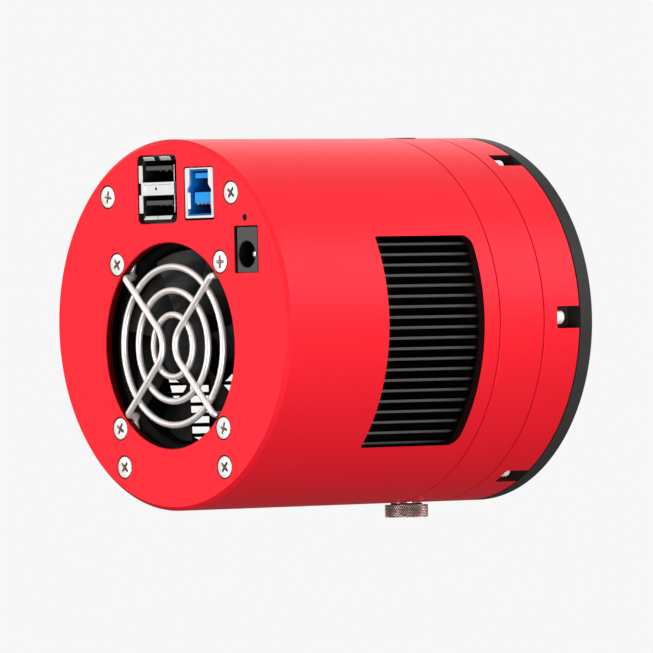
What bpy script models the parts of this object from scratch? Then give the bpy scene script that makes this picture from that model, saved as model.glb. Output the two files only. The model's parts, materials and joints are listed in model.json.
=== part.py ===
"""Cooled astronomy camera with a rear fan, flank air windows and a tilting front plate.

Dimensions are in millimetres on the bench frame: +Y runs forward from the rear face, +Z is up and
+X is right as seen from behind. make() turns them into metres in the row frame, whose origin is the
centre of the tilt plate's front face.
"""

import math

import bmesh
import bpy
from mathutils import Matrix, Vector

MM = 0.001

# Drum
BODY_LENGTH = 96.3
BODY_RADIUS = 45.0
SHELL_WALL = 2.25
REAR_WALL = 2.0
REAR_CHAMFER = 0.9
SEAM_1 = 66.5
SEAM_2 = 80.6
RED_END = 92.0
SEAM_GAP = 0.15
DRUM_SEGMENTS = 48
CHAMBER_WALL_RADIUS = 36.0
SEAL_SEAT_RADIUS = 39.8
SEAL_SEAT_REAR = 79.2
GAP = 0.3
CLEARANCE = 0.25
CLOSE_FIT = 0.15
FREE_FIT = 0.4
BORE_RUNOUT = 0.8
OVERSHOOT = 1.0

# Fan
FAN_X = -0.8
FAN_Z = -5.0
FAN_OPENING_RADIUS = 25.0
FAN_SCREW_PITCH = 40.0
FAN_SIDE = 50.0
FAN_REAR = 4.1
FAN_FRONT = 14.1
FAN_DUCT_RADIUS = 24.0
HUB_RADIUS = 9.6
HUB_REAR = 5.0
HUB_FRONT = 12.2
BLADE_TIP_RADIUS = 23.2
BLADE_COUNT = 7
BLADE_START = 67.4
BLADE_WRAP_ROOT = 42.0
BLADE_WRAP_TIP = 50.0
BLADE_BOW = 0.12
BLADE_THICKNESS = 0.8
BLADE_INSET = 0.6
BLADE_ROOT_OVERLAP = 0.5
HUB_WALL = 1.0
HUB_FLOOR = 1.2
HUB_CHAMFER = 0.6
FRAME_CORNER = 4.0
FRAME_FLANGE = 2.4
FRAME_NOTCH_RADIUS = 25.4
FRAME_NOTCH_REACH = 45.0
FRAME_NOTCH_START = 21.0
FRAME_NOTCH_END = 69.0
STRUT_COUNT = 3
STRUT_TURN = 30.0
STRUT_HALF = 1.2
STRUT_DEPTH = 1.3
STRUT_STEP = 0.05
BOSS_DEPTH = 3.0
SHAFT_RADIUS = 1.0
SHAFT_STOP = 0.4
BEARING = (1.08, 2.35)
BEARING_RADIUS = 2.4
BOSS_RADIUS = 3.6

# Stator, as (inner radius, outer radius, rear, front)
STATOR = (3.8, 8.1, 7.0, 12.0)

# Fan guard
WIRE_RADIUS = 0.8
RING_RADII = (7.55, 13.45, 19.2)
RING_DEPTH = 1.3
CROSS_DEPTH = -0.1
FOOT_DEPTH = 3.05
CROSS_ARC = 5.92
EYELET_RADIUS = 2.65

# Fasteners
HEAD_RADIUS = 2.6
SCREW_RADIUS = 1.5
HEAD_DEPTH = 1.2
HEAD_FACE = 0.1
CONE_END = 1.4
RECESS_ARM = 1.35
RECESS_HALF = 0.28
RECESS_FLOOR = 1.1
SOCKET_DEPTH = 1.2
COVER_SCREW_TIP = 9.0
COVER_SCREW_TURNS = (38.0, 12.0, 42.0, 40.0)
FAN_SCREW_TIP = 13.4
FAN_SCREW_TURNS = (0.0, 55.0, 30.0, 18.0)
COVER_SCREWS = ((23.9, 31.55), (-23.9, 31.55), (-19.4, -34.4), (19.4, -34.4))
STANDOFF_RADIUS = 2.7
STANDOFF_STUD_RADIUS = 1.5
STANDOFF_FRONT = 62.9
STUD_TIP = 69.0
STANDOFF_BORE_END = 10.0

# Heat sink
FIN_COUNT = 20
FIN_TOP = 18.8
FIN_BOTTOM = -30.0
FIN_THICKNESS = 0.7
FIN_REAR = 18.0
FIN_ROOT = 0.5
FIN_RADIUS = 41.0
SINK_BASE_REAR = 63.2
SINK_BASE_FRONT = 66.2
SINK_BASE_RADIUS = 42.3

# Flank windows
WINDOW_REAR = 31.3
WINDOW_FRONT = 61.5
WINDOW_LOW = -30.6
WINDOW_HIGH = 20.4
WINDOW_FRONT_CORNER = 2.75
WINDOW_REAR_CORNER = 0.6

# Sockets, as (low x, high x, low z, high z) of the cut-outs
USB_A = (-11.9, 3.2, 24.5, 41.7)
USB_B = (6.1, 17.7, 25.1, 38.4)
DC_JACK = (25.1, 33.7, 12.0, 23.6)
SOCKET_FACE = 0.2
SOCKET_WALL = 0.45
SOCKET_CORNER = 0.5
USB_LENGTH = 17.8
USB_A_BAR_HALF = 1.4
USB_A_CAVITY_STOP = 6.0
USB_A_BACK_STOP = 7.0
USB_A_INSERT_DEPTH = 4.5
USB_A_TONGUE_SIDE = 1.6
USB_A_TONGUE_TOP = 1.0
USB_A_TONGUE_THICKNESS = 1.9
USB_A_TONGUE_RECESS = 1.8
USB_B_INSERT_RECESS = 0.4
USB_B_WIDE_HALF = 4.0
USB_B_NARROW_HALF = 3.1
USB_B_MOUTH_LOW = 1.5
USB_B_MOUTH_TOP = 1.4
USB_B_SHOULDER_LOW = 7.2
USB_B_SHOULDER_HIGH = 8.2
USB_B_MOUTH_STOP = 5.0
USB_B_TONGUE_RECESS = 1.6
USB_B_TONGUE_STOP = 3.0
JACK_LENGTH = 14.0
JACK_BORE = (29.4, 16.6)
JACK_BORE_RADIUS = 3.2
JACK_BORE_DEPTH = 9.5
JACK_PIN_RADIUS = 1.0
JACK_PIN_FIT = 0.1
JACK_PIN_RECESS = 2.3
JACK_PIN_TIP_RADIUS = 0.7
JACK_PIN_TIP_LENGTH = 0.4
LIGHT = (29.2, 25.5)
LIGHT_RADIUS = 0.8
LIGHT_LENGTH = 16.0
BOARD_LOW = 22.6
BOARD_HIGH = 24.2
BOARD_OUTLINE = ((-14.0, 3.2), (24.6, 3.2), (24.6, 15.4), (34.2, 15.4), (34.2, 34.0), (-14.0, 34.0))

# USB-B tongues, as (half width, low, high) over the socket's floor
USB_B_TONGUES = ((2.7, 3.2, 6.4), (2.0, 8.5, 10.1))

# Chamber
COOLER_HALF = 20.0
COOLER_FIT = 0.5
WEB_FRONT = 69.4
SENSOR_PLANE = BODY_LENGTH - 17.5
LIGHT_PATH_RADIUS = 17.0
WINDOW_SEAT_RADIUS = 20.3
SEAT_REAR = 83.2
CARRIER_FRONT = 88.0
CARRIER_RADIUS = 29.7
FRONT_BORE_RADIUS = 30.0
GUIDE_Z = 23.9
GUIDE_SLOT = (5.0, 2.9, 0.8)
GUIDE_PANE = (4.7, 2.6, 0.6)
GUIDE_PANE_DEPTH = (86.2, 87.4)
PANE_RADIUS = 19.9
PANE_DEPTH = (84.8, 86.8)
CHAMBER_SEAL = (38.0, 39.4, 79.5, 80.45)

# Chamber pieces, as (name, slot, x range, y range, z range)
CHAMBER_BOXES = (
    ("peltier_cooler", "ceramic", (-COOLER_HALF, COOLER_HALF), (66.5, 69.9), (-COOLER_HALF, COOLER_HALF)),
    ("cold_block", "cold_aluminium", (-17.0, 17.0), (70.2, 75.0), (-13.0, 13.0)),
    ("sensor_board", "board", (-21.0, 21.0), (75.3, 76.8), (-23.0, 28.0)),
    ("main_sensor", "silicon", (-15.5, 15.5), (77.1, SENSOR_PLANE), (-11.5, 11.5)),
    ("sensor_cover_glass", "glass", (-14.0, 14.0), (SENSOR_PLANE + GAP, SENSOR_PLANE + 1.0), (-10.2, 10.2)),
    ("guide_sensor", "silicon", (-4.2, 4.2), (77.1, SENSOR_PLANE), (GUIDE_Z - 2.4, GUIDE_Z + 2.4)),
)

# Rings round the light path, as (name, slot, inner radius, outer radius, rear, front)
OPTIC_RINGS = (
    ("window_seal", "rubber", 17.7, 19.8, 83.4, 84.1),
    ("window_heater", "heater_film", 17.9, 19.8, 84.3, 84.6),
    ("window_retaining_ring", "black_anodised", 17.8, 20.0, 87.0, 87.9),
)

# Front ring pockets and screws
POCKET_COUNT = 6
POCKET_WIDTH = 5.4
POCKET_REAR = 84.8
POCKET_FLOOR_RADIUS = 40.5
RING_SCREW_CIRCLE = 43.0
RING_SCREW_HEAD_RADIUS = 1.7
RING_SCREW_RADIUS = 1.1
RING_SCREW_TIP = 75.0
RING_SCREW_HEAD_HEIGHT = 2.4
HEXAGON_SHARE = 0.52

# Tilt plate
TILT_REAR = 92.35
APERTURE_RADIUS = 27.0
TILT_CIRCLE = 36.0
TILT_ANGLES = (90.0, 210.0, 330.0)
PUSH_OFFSET = 16.0
PULL_HEAD_RADIUS = 2.4
PULL_RADIUS = 1.25
PUSH_RADIUS = 1.5
PULL_TIP = 84.0
PULL_HEAD_FACE = 96.05
PULL_HEAD_FLOOR = 93.85
PULL_SEAT = 93.5
PUSH_FACE_DEPTH = 0.3
PUSH_TIP_LIFT = 0.05
PUSH_SOCKET_SHARE = 0.5
PLATE_CHAMFER = 0.4
APERTURE_CHAMFER = 0.6

# Ports of the middle ring
PORT_DEPTH = 73.2
CAP_HEAD_RADIUS = 5.4
CAP_HEAD_GAP = 0.5
CAP_HEAD_REACH = 3.6
CAP_CHAMFER = 0.15
CAP_NECK_HEIGHT = 0.4
CAP_NECK_RADIUS = 3.875
CAP_SHANK_RADIUS = 3.4
CAP_TUBE_RADIUS = 3.0
CAP_TUBE_TIP = 27.0
CAP_TUBE_FLOOR = 40.0
CAP_TUBE_END = 36.0
CAP_SHANK_END = 36.5
CAP_SEAL = (3.5, 4.2, 43.6, 44.6)
TABLET_RADIUS = 1.9
TABLET_COUNT = 2
TABLET_LOW = 28.0
TABLET_LENGTH = 5.4
TABLET_PITCH = 5.7
PORT_BORE_RADIUS = 3.7
PORT_RECESS_RADIUS = 4.4
PORT_RECESS_DEPTH = 1.6
PORT_BORE_END = 34.0
PORT_OUTSIDE = 47.0
PLUG_BORE_RADIUS = 3.3
PLUG_BORE_END = 38.0
PLUG_RADIUS = 3.0
PLUG_TIP = 38.4
PLUG_SHOULDER = 43.7
PLUG_FIT = 0.15
PLUG_PROUD = 0.05
PLUG_SOCKET_RADIUS = 1.3

MATERIALS = {
    "red_anodised": ((0.72, 0.012, 0.03), 0.38, 0.55),
    "black_anodised": ((0.02, 0.021, 0.021), 0.45, 0.6),
    "steel": ((0.78, 0.77, 0.74), 0.25, 1.0),
    "thumb_steel": ((0.42, 0.37, 0.33), 0.35, 1.0),
    "socket_metal": ((0.72, 0.72, 0.71), 0.28, 1.0),
    "black_plastic": ((0.014, 0.014, 0.015), 0.5, 0.0),
    "fan_plastic": ((0.018, 0.019, 0.02), 0.38, 0.0),
    "jack_plastic": ((0.055, 0.057, 0.06), 0.55, 0.0),
    "blue_plastic": ((0.01, 0.09, 0.42), 0.4, 0.0),
    "light_pipe": ((0.5, 0.08, 0.06), 0.2, 0.0),
    "board": ((0.01, 0.09, 0.04), 0.45, 0.0),
    "copper": ((0.7, 0.3, 0.16), 0.35, 1.0),
    "brass": ((0.72, 0.52, 0.24), 0.3, 1.0),
    "ceramic": ((0.82, 0.81, 0.78), 0.5, 0.0),
    "cold_aluminium": ((0.75, 0.76, 0.77), 0.35, 1.0),
    "silicon": ((0.07, 0.06, 0.11), 0.12, 0.4),
    "glass": ((0.86, 0.93, 0.95), 0.03, 0.0),
    "rubber": ((0.012, 0.012, 0.012), 0.7, 0.0),
    "heater_film": ((0.62, 0.34, 0.08), 0.4, 0.2),
    "desiccant": ((0.85, 0.83, 0.78), 0.8, 0.0),
}


def clear_scene():
    for obj in list(bpy.data.objects):
        bpy.data.objects.remove(obj)


def material(slot):
    """The named Principled material, made once."""
    if slot in bpy.data.materials:
        return bpy.data.materials[slot]
    colour, roughness, metallic = MATERIALS[slot]
    made = bpy.data.materials.new(slot)
    made.use_nodes = True
    shader = made.node_tree.nodes["Principled BSDF"]
    shader.inputs["Base Color"].default_value = (*colour, 1.0)
    shader.inputs["Roughness"].default_value = roughness
    shader.inputs["Metallic"].default_value = metallic
    return made


def make(name, bm, slot, pivot=(0.0, BODY_LENGTH, 0.0)):
    """An object from a bench-frame mesh, with its origin at the pivot."""
    bmesh.ops.recalc_face_normals(bm, faces=bm.faces)
    bmesh.ops.translate(bm, verts=bm.verts, vec=-Vector(pivot))
    bmesh.ops.scale(bm, verts=bm.verts, vec=(MM, MM, MM))
    mesh = bpy.data.meshes.new(name)
    bm.to_mesh(mesh)
    bm.free()
    obj = bpy.data.objects.new(name, mesh)
    obj.location = (Vector(pivot) - Vector((0.0, BODY_LENGTH, 0.0))) * MM
    bpy.context.scene.collection.objects.link(obj)
    mesh.materials.append(material(slot))
    smooth(mesh)
    return obj


def smooth(mesh):
    mesh.shade_smooth()
    mesh.set_sharp_from_angle(angle=math.radians(30))


def combine(obj, tool, operation):
    """Cuts or joins the tool mesh into the object, then removes the tool."""
    pivot = obj.location / MM + Vector((0.0, BODY_LENGTH, 0.0))
    helper = make(obj.name + "_tool", tool, obj.data.materials[0].name, pivot)
    modifier = obj.modifiers.new(operation.lower(), "BOOLEAN")
    modifier.operation = operation
    modifier.solver = "EXACT"
    modifier.object = helper
    graph = bpy.context.evaluated_depsgraph_get()
    result = bpy.data.meshes.new_from_object(obj.evaluated_get(graph))
    obj.modifiers.clear()
    obj.data = result
    result.name = obj.name
    bpy.data.objects.remove(helper)
    smooth(result)
    return obj


def copy_of(obj, name, location_mm, turn=0.0):
    """A separate object on the same mesh, at a bench-frame place, turned about its own Y axis."""
    twin = bpy.data.objects.new(name, obj.data)
    twin.location = (Vector(location_mm) - Vector((0.0, BODY_LENGTH, 0.0))) * MM
    twin.rotation_euler = (0.0, turn, 0.0)
    bpy.context.scene.collection.objects.link(twin)
    return twin


def on_circle(radius, degrees, centre=(0.0, 0.0)):
    angle = math.radians(degrees)
    return (centre[0] + radius * math.cos(angle), centre[1] + radius * math.sin(angle))


def add_turned(bm, profile, centre=(0.0, 0.0), segments=DRUM_SEGMENTS, place=None, phase=0.0):
    """A solid turned about Y. The profile is a closed loop of (radius, y), or runs from axis to axis."""
    rings = []
    new = []
    for radius, y in profile:
        if radius == 0.0:
            ring = [bm.verts.new((centre[0], y, centre[1]))]
        else:
            ring = []
            for step in range(segments):
                x, z = on_circle(radius, phase + 360.0 * step / segments, centre)
                ring.append(bm.verts.new((x, y, z)))
        rings.append(ring)
        new.extend(ring)
    open_ended = profile[0][0] == 0.0
    pairs = list(zip(rings, rings[1:]))
    if not open_ended:
        pairs.append((rings[-1], rings[0]))
    for first, second in pairs:
        for step in range(segments):
            after = (step + 1) % segments
            corners = [first[step % len(first)], first[after % len(first)]]
            corners += [second[after % len(second)], second[step % len(second)]]
            unique = list(dict.fromkeys(corners))
            if len(unique) > 2:
                bm.faces.new(unique)
    if place:
        bmesh.ops.transform(bm, matrix=place, verts=new)
    return new


def add_rod(bm, radius, low, high, centre=(0.0, 0.0), segments=16, place=None, phase=0.0):
    add_turned(bm, [(0.0, low), (radius, low), (radius, high), (0.0, high)], centre, segments, place, phase)


def add_ring(bm, inner, outer, low, high, centre=(0.0, 0.0), segments=32, place=None):
    profile = [(inner, low), (outer, low), (outer, high), (inner, high)]
    add_turned(bm, profile, centre, segments, place)


def add_box(bm, x, y, z):
    """A box between (low, high) pairs."""
    size = Vector((x[1] - x[0], y[1] - y[0], z[1] - z[0]))
    middle = Vector((x[0] + x[1], y[0] + y[1], z[0] + z[1])) / 2
    matrix = Matrix.Translation(middle) @ Matrix.Diagonal((*size, 1.0))
    bmesh.ops.create_cube(bm, size=1.0, matrix=matrix)


def add_turned_box(bm, x, y, z, degrees, centre=(0.0, 0.0)):
    """A box, drawn about the Y axis, turned and moved to a centre."""
    before = len(bm.verts)
    add_box(bm, x, y, z)
    bm.verts.ensure_lookup_table()
    turn = Matrix.Translation((centre[0], 0.0, centre[1])) @ Matrix.Rotation(-math.radians(degrees), 4, "Y")
    bmesh.ops.transform(bm, matrix=turn, verts=bm.verts[before:])


def add_prism(bm, outline, low, high, axis="Y"):
    """An outline extruded along an axis: (x, z) points along Y, or (y, z) points along X."""
    if axis == "Y":
        ends = [[(a, level, b) for a, b in outline] for level in (low, high)]
    else:
        ends = [[(level, a, b) for a, b in outline] for level in (low, high)]
    first = [bm.verts.new(point) for point in ends[0]]
    second = [bm.verts.new(point) for point in ends[1]]
    bm.faces.new(first)
    bm.faces.new(reversed(second))
    for index in range(len(outline)):
        after = (index + 1) % len(outline)
        bm.faces.new((first[index], second[index], second[after], first[after]))


def rounded(low_a, high_a, low_b, high_b, radii, steps=4):
    """A rectangle's outline with its own radius at each corner, from (low, low) anticlockwise."""
    corners = ((low_a, low_b, 180.0), (high_a, low_b, 270.0), (high_a, high_b, 0.0), (low_a, high_b, 90.0))
    outline = []
    for (a, b, start), radius in zip(corners, radii):
        centre = (
            a + radius * (1 if a == low_a else -1),
            b + radius * (1 if b == low_b else -1),
        )
        for step in range(steps + 1):
            outline.append(on_circle(radius, start + 90.0 * step / steps, centre))
    return outline


def add_tube(bm, points, radius, sides=6, closed=False):
    """A round tube along points, carried round without twist, with flat ends unless it is closed."""
    points = [Vector(point) for point in points]
    count = len(points)
    rings = []
    across = None
    for index, point in enumerate(points):
        before = points[index - 1] if index or closed else point
        after = points[(index + 1) % count] if index < count - 1 or closed else point
        along = (after - before).normalized()
        if across is None:
            across = along.orthogonal().normalized()
            if closed:
                across = Vector((0.0, 1.0, 0.0))
        across = (across - along * across.dot(along)).normalized()
        other = along.cross(across)
        ring = []
        for side in range(sides):
            u, w = on_circle(radius, 360.0 * side / sides)
            ring.append(bm.verts.new(point + across * u + other * w))
        rings.append(ring)
    pairs = list(zip(rings, rings[1:]))
    if closed:
        pairs.append((rings[-1], rings[0]))
    for first, second in pairs:
        for side in range(sides):
            after = (side + 1) % sides
            bm.faces.new((first[side], first[after], second[after], second[side]))
    if not closed:
        bm.faces.new(rings[0])
        bm.faces.new(reversed(rings[-1]))


def fan_screw_places():
    half = FAN_SCREW_PITCH / 2
    return [(FAN_X + sx * half, FAN_Z + sz * half) for sx, sz in ((1, 1), (-1, 1), (-1, -1), (1, -1))]


def pocket_angles():
    return [360.0 * index / POCKET_COUNT for index in range(POCKET_COUNT)]


# ---------------------------------------------------------------- drum


def countersunk_hole(bm, centre):
    """The cutter of one countersunk hole through the rear wall."""
    wide = HEAD_RADIUS + GAP
    narrow = SCREW_RADIUS + GAP
    end = REAR_WALL + OVERSHOOT
    profile = [(0.0, -OVERSHOOT), (wide, -OVERSHOOT), (wide, HEAD_FACE), (narrow, CONE_END)]
    add_turned(bm, profile + [(narrow, end), (0.0, end)], centre, 12)


def rear_shell():
    bm = bmesh.new()
    end = SEAM_1 - SEAM_GAP
    inner = BODY_RADIUS - SHELL_WALL
    outside = [(0.0, 0.0), (BODY_RADIUS - REAR_CHAMFER, 0.0), (BODY_RADIUS, REAR_CHAMFER), (BODY_RADIUS, end)]
    add_turned(bm, outside + [(inner, end), (inner, REAR_WALL), (0.0, REAR_WALL)])
    shell = make("rear_shell", bm, "red_anodised")

    cutter = bmesh.new()
    add_rod(cutter, FAN_OPENING_RADIUS, -OVERSHOOT, REAR_WALL + OVERSHOOT, (FAN_X, FAN_Z), 40)
    for centre in list(COVER_SCREWS) + fan_screw_places():
        countersunk_hole(cutter, centre)
    corners = (SOCKET_CORNER,) * 4
    for (x0, x1, z0, z1), length in ((USB_A, USB_LENGTH), (USB_B, USB_LENGTH), (DC_JACK, JACK_LENGTH)):
        add_prism(cutter, rounded(x0, x1, z0, z1, corners, 2), -OVERSHOOT, length + OVERSHOOT)
    add_rod(cutter, LIGHT_RADIUS + CLOSE_FIT, -OVERSHOOT, REAR_WALL + OVERSHOOT, LIGHT, 8)
    combine(shell, cutter, "DIFFERENCE")

    cutter = bmesh.new()
    corners = (WINDOW_REAR_CORNER, WINDOW_FRONT_CORNER, WINDOW_FRONT_CORNER, WINDOW_REAR_CORNER)
    outline = rounded(WINDOW_REAR, WINDOW_FRONT, WINDOW_LOW, WINDOW_HIGH, corners)
    reach = BODY_RADIUS + OVERSHOOT
    add_prism(cutter, outline, -reach, reach, "X")
    combine(shell, cutter, "DIFFERENCE")


def place_port(sign):
    """Turns a shape drawn along +Y from the drum's axis to run up (1) or down (-1) at the ports."""
    return Matrix.Translation((0.0, PORT_DEPTH, 0.0)) @ Matrix.Rotation(sign * math.pi / 2, 4, "X")


def middle_ring():
    bm = bmesh.new()
    rear = SEAM_1 + SEAM_GAP
    front = SEAM_2 - SEAM_GAP
    web = COOLER_HALF + COOLER_FIT
    profile = [(0.0, rear), (BODY_RADIUS, rear), (BODY_RADIUS, front), (SEAL_SEAT_RADIUS, front)]
    profile += [(SEAL_SEAT_RADIUS, SEAL_SEAT_REAR), (CHAMBER_WALL_RADIUS, SEAL_SEAT_REAR)]
    add_turned(bm, profile + [(CHAMBER_WALL_RADIUS, WEB_FRONT), (0.0, WEB_FRONT)])
    ring = make("middle_ring", bm, "red_anodised")

    cutter = bmesh.new()
    add_box(cutter, (-web, web), (rear - OVERSHOOT, WEB_FRONT + OVERSHOOT), (-web, web))
    for x, z in COVER_SCREWS:
        add_rod(cutter, STANDOFF_STUD_RADIUS + CLEARANCE, rear - OVERSHOOT, STUD_TIP + GAP, (x, z), 8)
    for angle in pocket_angles():
        centre = on_circle(RING_SCREW_CIRCLE, angle)
        add_rod(cutter, RING_SCREW_RADIUS + CLEARANCE, RING_SCREW_TIP - BORE_RUNOUT, front + OVERSHOOT, centre, 8)
    recess = BODY_RADIUS - PORT_RECESS_DEPTH
    for sign, radius, end in ((-1, PORT_BORE_RADIUS, PORT_BORE_END), (1, PLUG_BORE_RADIUS, PLUG_BORE_END)):
        bore = [(0.0, end), (radius, end), (radius, recess), (PORT_RECESS_RADIUS, recess)]
        bore += [(PORT_RECESS_RADIUS, PORT_OUTSIDE), (0.0, PORT_OUTSIDE)]
        add_turned(cutter, bore, segments=16, place=place_port(sign))
    combine(ring, cutter, "DIFFERENCE")


def front_ring():
    bm = bmesh.new()
    rear = SEAM_2 + SEAM_GAP
    add_ring(bm, FRONT_BORE_RADIUS, BODY_RADIUS, rear, RED_END, segments=DRUM_SEGMENTS)
    ring = make("front_ring", bm, "red_anodised")

    cutter = bmesh.new()
    half = POCKET_WIDTH / 2
    for angle in pocket_angles():
        reach = (POCKET_FLOOR_RADIUS, BODY_RADIUS + OVERSHOOT)
        add_turned_box(cutter, reach, (POCKET_REAR, RED_END + OVERSHOOT), (-half, half), angle)
    for angle in TILT_ANGLES:
        hole = on_circle(TILT_CIRCLE, angle)
        add_rod(cutter, PULL_RADIUS + CLOSE_FIT, PULL_TIP - 2 * GAP, RED_END + OVERSHOOT, hole, 10)
    combine(ring, cutter, "DIFFERENCE")

    cutter = bmesh.new()
    for angle in pocket_angles():
        hole = on_circle(RING_SCREW_CIRCLE, angle)
        add_rod(cutter, RING_SCREW_RADIUS + CLEARANCE, rear - OVERSHOOT, POCKET_REAR + OVERSHOOT, hole, 8)
    combine(ring, cutter, "DIFFERENCE")


def window_carrier():
    """The disc inside the front ring that holds both windows."""
    bm = bmesh.new()
    rear = SEAM_2 + SEAM_GAP
    profile = [(LIGHT_PATH_RADIUS, rear), (CARRIER_RADIUS, rear), (CARRIER_RADIUS, CARRIER_FRONT)]
    profile += [(WINDOW_SEAT_RADIUS, CARRIER_FRONT), (WINDOW_SEAT_RADIUS, SEAT_REAR)]
    add_turned(bm, profile + [(LIGHT_PATH_RADIUS, SEAT_REAR)])
    carrier = make("window_carrier", bm, "black_anodised")

    cutter = bmesh.new()
    half_x, half_z, corner = GUIDE_SLOT
    outline = rounded(-half_x, half_x, GUIDE_Z - half_z, GUIDE_Z + half_z, (corner,) * 4, 2)
    add_prism(cutter, outline, rear - OVERSHOOT, CARRIER_FRONT + OVERSHOOT)
    combine(carrier, cutter, "DIFFERENCE")


def tilt_plate():
    bm = bmesh.new()
    edge = BODY_LENGTH - PLATE_CHAMFER
    outside = [(APERTURE_RADIUS, TILT_REAR), (BODY_RADIUS, TILT_REAR), (BODY_RADIUS, edge)]
    outside += [(BODY_RADIUS - PLATE_CHAMFER, BODY_LENGTH), (APERTURE_RADIUS + APERTURE_CHAMFER, BODY_LENGTH)]
    add_turned(bm, outside + [(APERTURE_RADIUS, BODY_LENGTH - APERTURE_CHAMFER)])
    plate = make("tilt_plate", bm, "black_anodised", (0.0, TILT_REAR, 0.0))

    cutter = bmesh.new()
    rear = TILT_REAR - OVERSHOOT
    front = BODY_LENGTH + OVERSHOOT
    head = PULL_HEAD_RADIUS + GAP
    narrow = PULL_RADIUS + FREE_FIT
    for angle in TILT_ANGLES:
        profile = [(0.0, rear), (narrow, rear), (narrow, PULL_SEAT), (head, PULL_SEAT), (head, front)]
        add_turned(cutter, profile + [(0.0, front)], on_circle(TILT_CIRCLE, angle), 12)
        push = on_circle(TILT_CIRCLE, angle + PUSH_OFFSET)
        add_rod(cutter, PUSH_RADIUS + CLOSE_FIT, rear, front, push, 12)
    combine(plate, cutter, "DIFFERENCE")


# ---------------------------------------------------------------- fasteners


def cross_screw(name, tip):
    """A countersunk screw with a cross recess, on its own axis with its head at the rear face."""
    bm = bmesh.new()
    profile = [(0.0, HEAD_FACE), (HEAD_RADIUS, HEAD_FACE), (SCREW_RADIUS, HEAD_DEPTH), (SCREW_RADIUS, tip)]
    profile.append((0.0, tip))
    add_turned(bm, profile, segments=12)
    screw = make(name, bm, "steel", (0.0, 0.0, 0.0))
    arm = RECESS_ARM
    half = RECESS_HALF
    cutter = bmesh.new()
    plus = [(arm, -half), (arm, half), (half, half), (half, arm), (-half, arm), (-half, half)]
    plus += [(-arm, half), (-arm, -half), (-half, -half), (-half, -arm), (half, -arm), (half, -half)]
    add_prism(cutter, plus, -OVERSHOOT, RECESS_FLOOR)
    return combine(screw, cutter, "DIFFERENCE")


def screw_set(name, places, tip, turns):
    """Numbered copies of one cross screw."""
    pattern = cross_screw(name + "_1", tip)
    x, z = places[0]
    pattern.location = (x * MM, -BODY_LENGTH * MM, z * MM)
    pattern.rotation_euler = (0.0, math.radians(turns[0]), 0.0)
    for index in range(1, len(places)):
        x, z = places[index]
        copy_of(pattern, f"{name}_{index + 1}", (x, 0.0, z), math.radians(turns[index]))


def socket_screw(name, head_radius, radius, head_face, head_floor, tip, centre):
    """A cap screw along Y with a socket in its forward face, turning about its own axis."""
    bm = bmesh.new()
    profile = [(0.0, tip), (radius, tip), (radius, head_floor), (head_radius, head_floor)]
    socket = head_radius * HEXAGON_SHARE
    floor = head_face - SOCKET_DEPTH
    profile += [(head_radius, head_face), (socket, head_face), (socket, floor), (0.0, floor)]
    add_turned(bm, profile, centre, 10)
    return make(name, bm, "steel", (centre[0], head_floor, centre[1]))


def grub_screw(name, centre):
    bm = bmesh.new()
    tip = TILT_REAR + PUSH_TIP_LIFT
    face = BODY_LENGTH - PUSH_FACE_DEPTH
    socket = PUSH_RADIUS * PUSH_SOCKET_SHARE
    floor = face - SOCKET_DEPTH
    profile = [(0.0, tip), (PUSH_RADIUS, tip), (PUSH_RADIUS, face), (socket, face), (socket, floor)]
    add_turned(bm, profile + [(0.0, floor)], centre, 10)
    return make(name, bm, "steel", (centre[0], TILT_REAR, centre[1]))


def fasteners():
    screw_set("rear_cover_screw", COVER_SCREWS, COVER_SCREW_TIP, COVER_SCREW_TURNS)
    screw_set("fan_screw", fan_screw_places(), FAN_SCREW_TIP, FAN_SCREW_TURNS)
    floor = POCKET_REAR + GAP
    face = floor + RING_SCREW_HEAD_HEIGHT
    for index, angle in enumerate(pocket_angles()):
        centre = on_circle(RING_SCREW_CIRCLE, angle)
        name = f"front_ring_screw_{index + 1}"
        socket_screw(name, RING_SCREW_HEAD_RADIUS, RING_SCREW_RADIUS, face, floor, RING_SCREW_TIP, centre)
    for index, angle in enumerate(TILT_ANGLES):
        pull = on_circle(TILT_CIRCLE, angle)
        name = f"tilt_pull_screw_{index + 1}"
        socket_screw(name, PULL_HEAD_RADIUS, PULL_RADIUS, PULL_HEAD_FACE, PULL_HEAD_FLOOR, PULL_TIP, pull)
        grub_screw(f"tilt_push_screw_{index + 1}", on_circle(TILT_CIRCLE, angle + PUSH_OFFSET))


def standoffs():
    """Hexagon rods that the rear cover screws go into, each with a stud through the heat sink's base."""
    rear = REAR_WALL + GAP
    bore = SCREW_RADIUS + CLEARANCE
    profile = [(0.0, STANDOFF_BORE_END), (bore, STANDOFF_BORE_END), (bore, rear), (STANDOFF_RADIUS, rear)]
    profile += [(STANDOFF_RADIUS, STANDOFF_FRONT), (STANDOFF_STUD_RADIUS, STANDOFF_FRONT)]
    profile += [(STANDOFF_STUD_RADIUS, STUD_TIP), (0.0, STUD_TIP)]
    for index, (x, z) in enumerate(COVER_SCREWS):
        bm = bmesh.new()
        turn = math.degrees(math.atan2(z, x)) + 30.0
        add_turned(bm, profile, (x, z), 6, phase=turn)
        make(f"standoff_{index + 1}", bm, "brass")


# ---------------------------------------------------------------- fan


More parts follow.
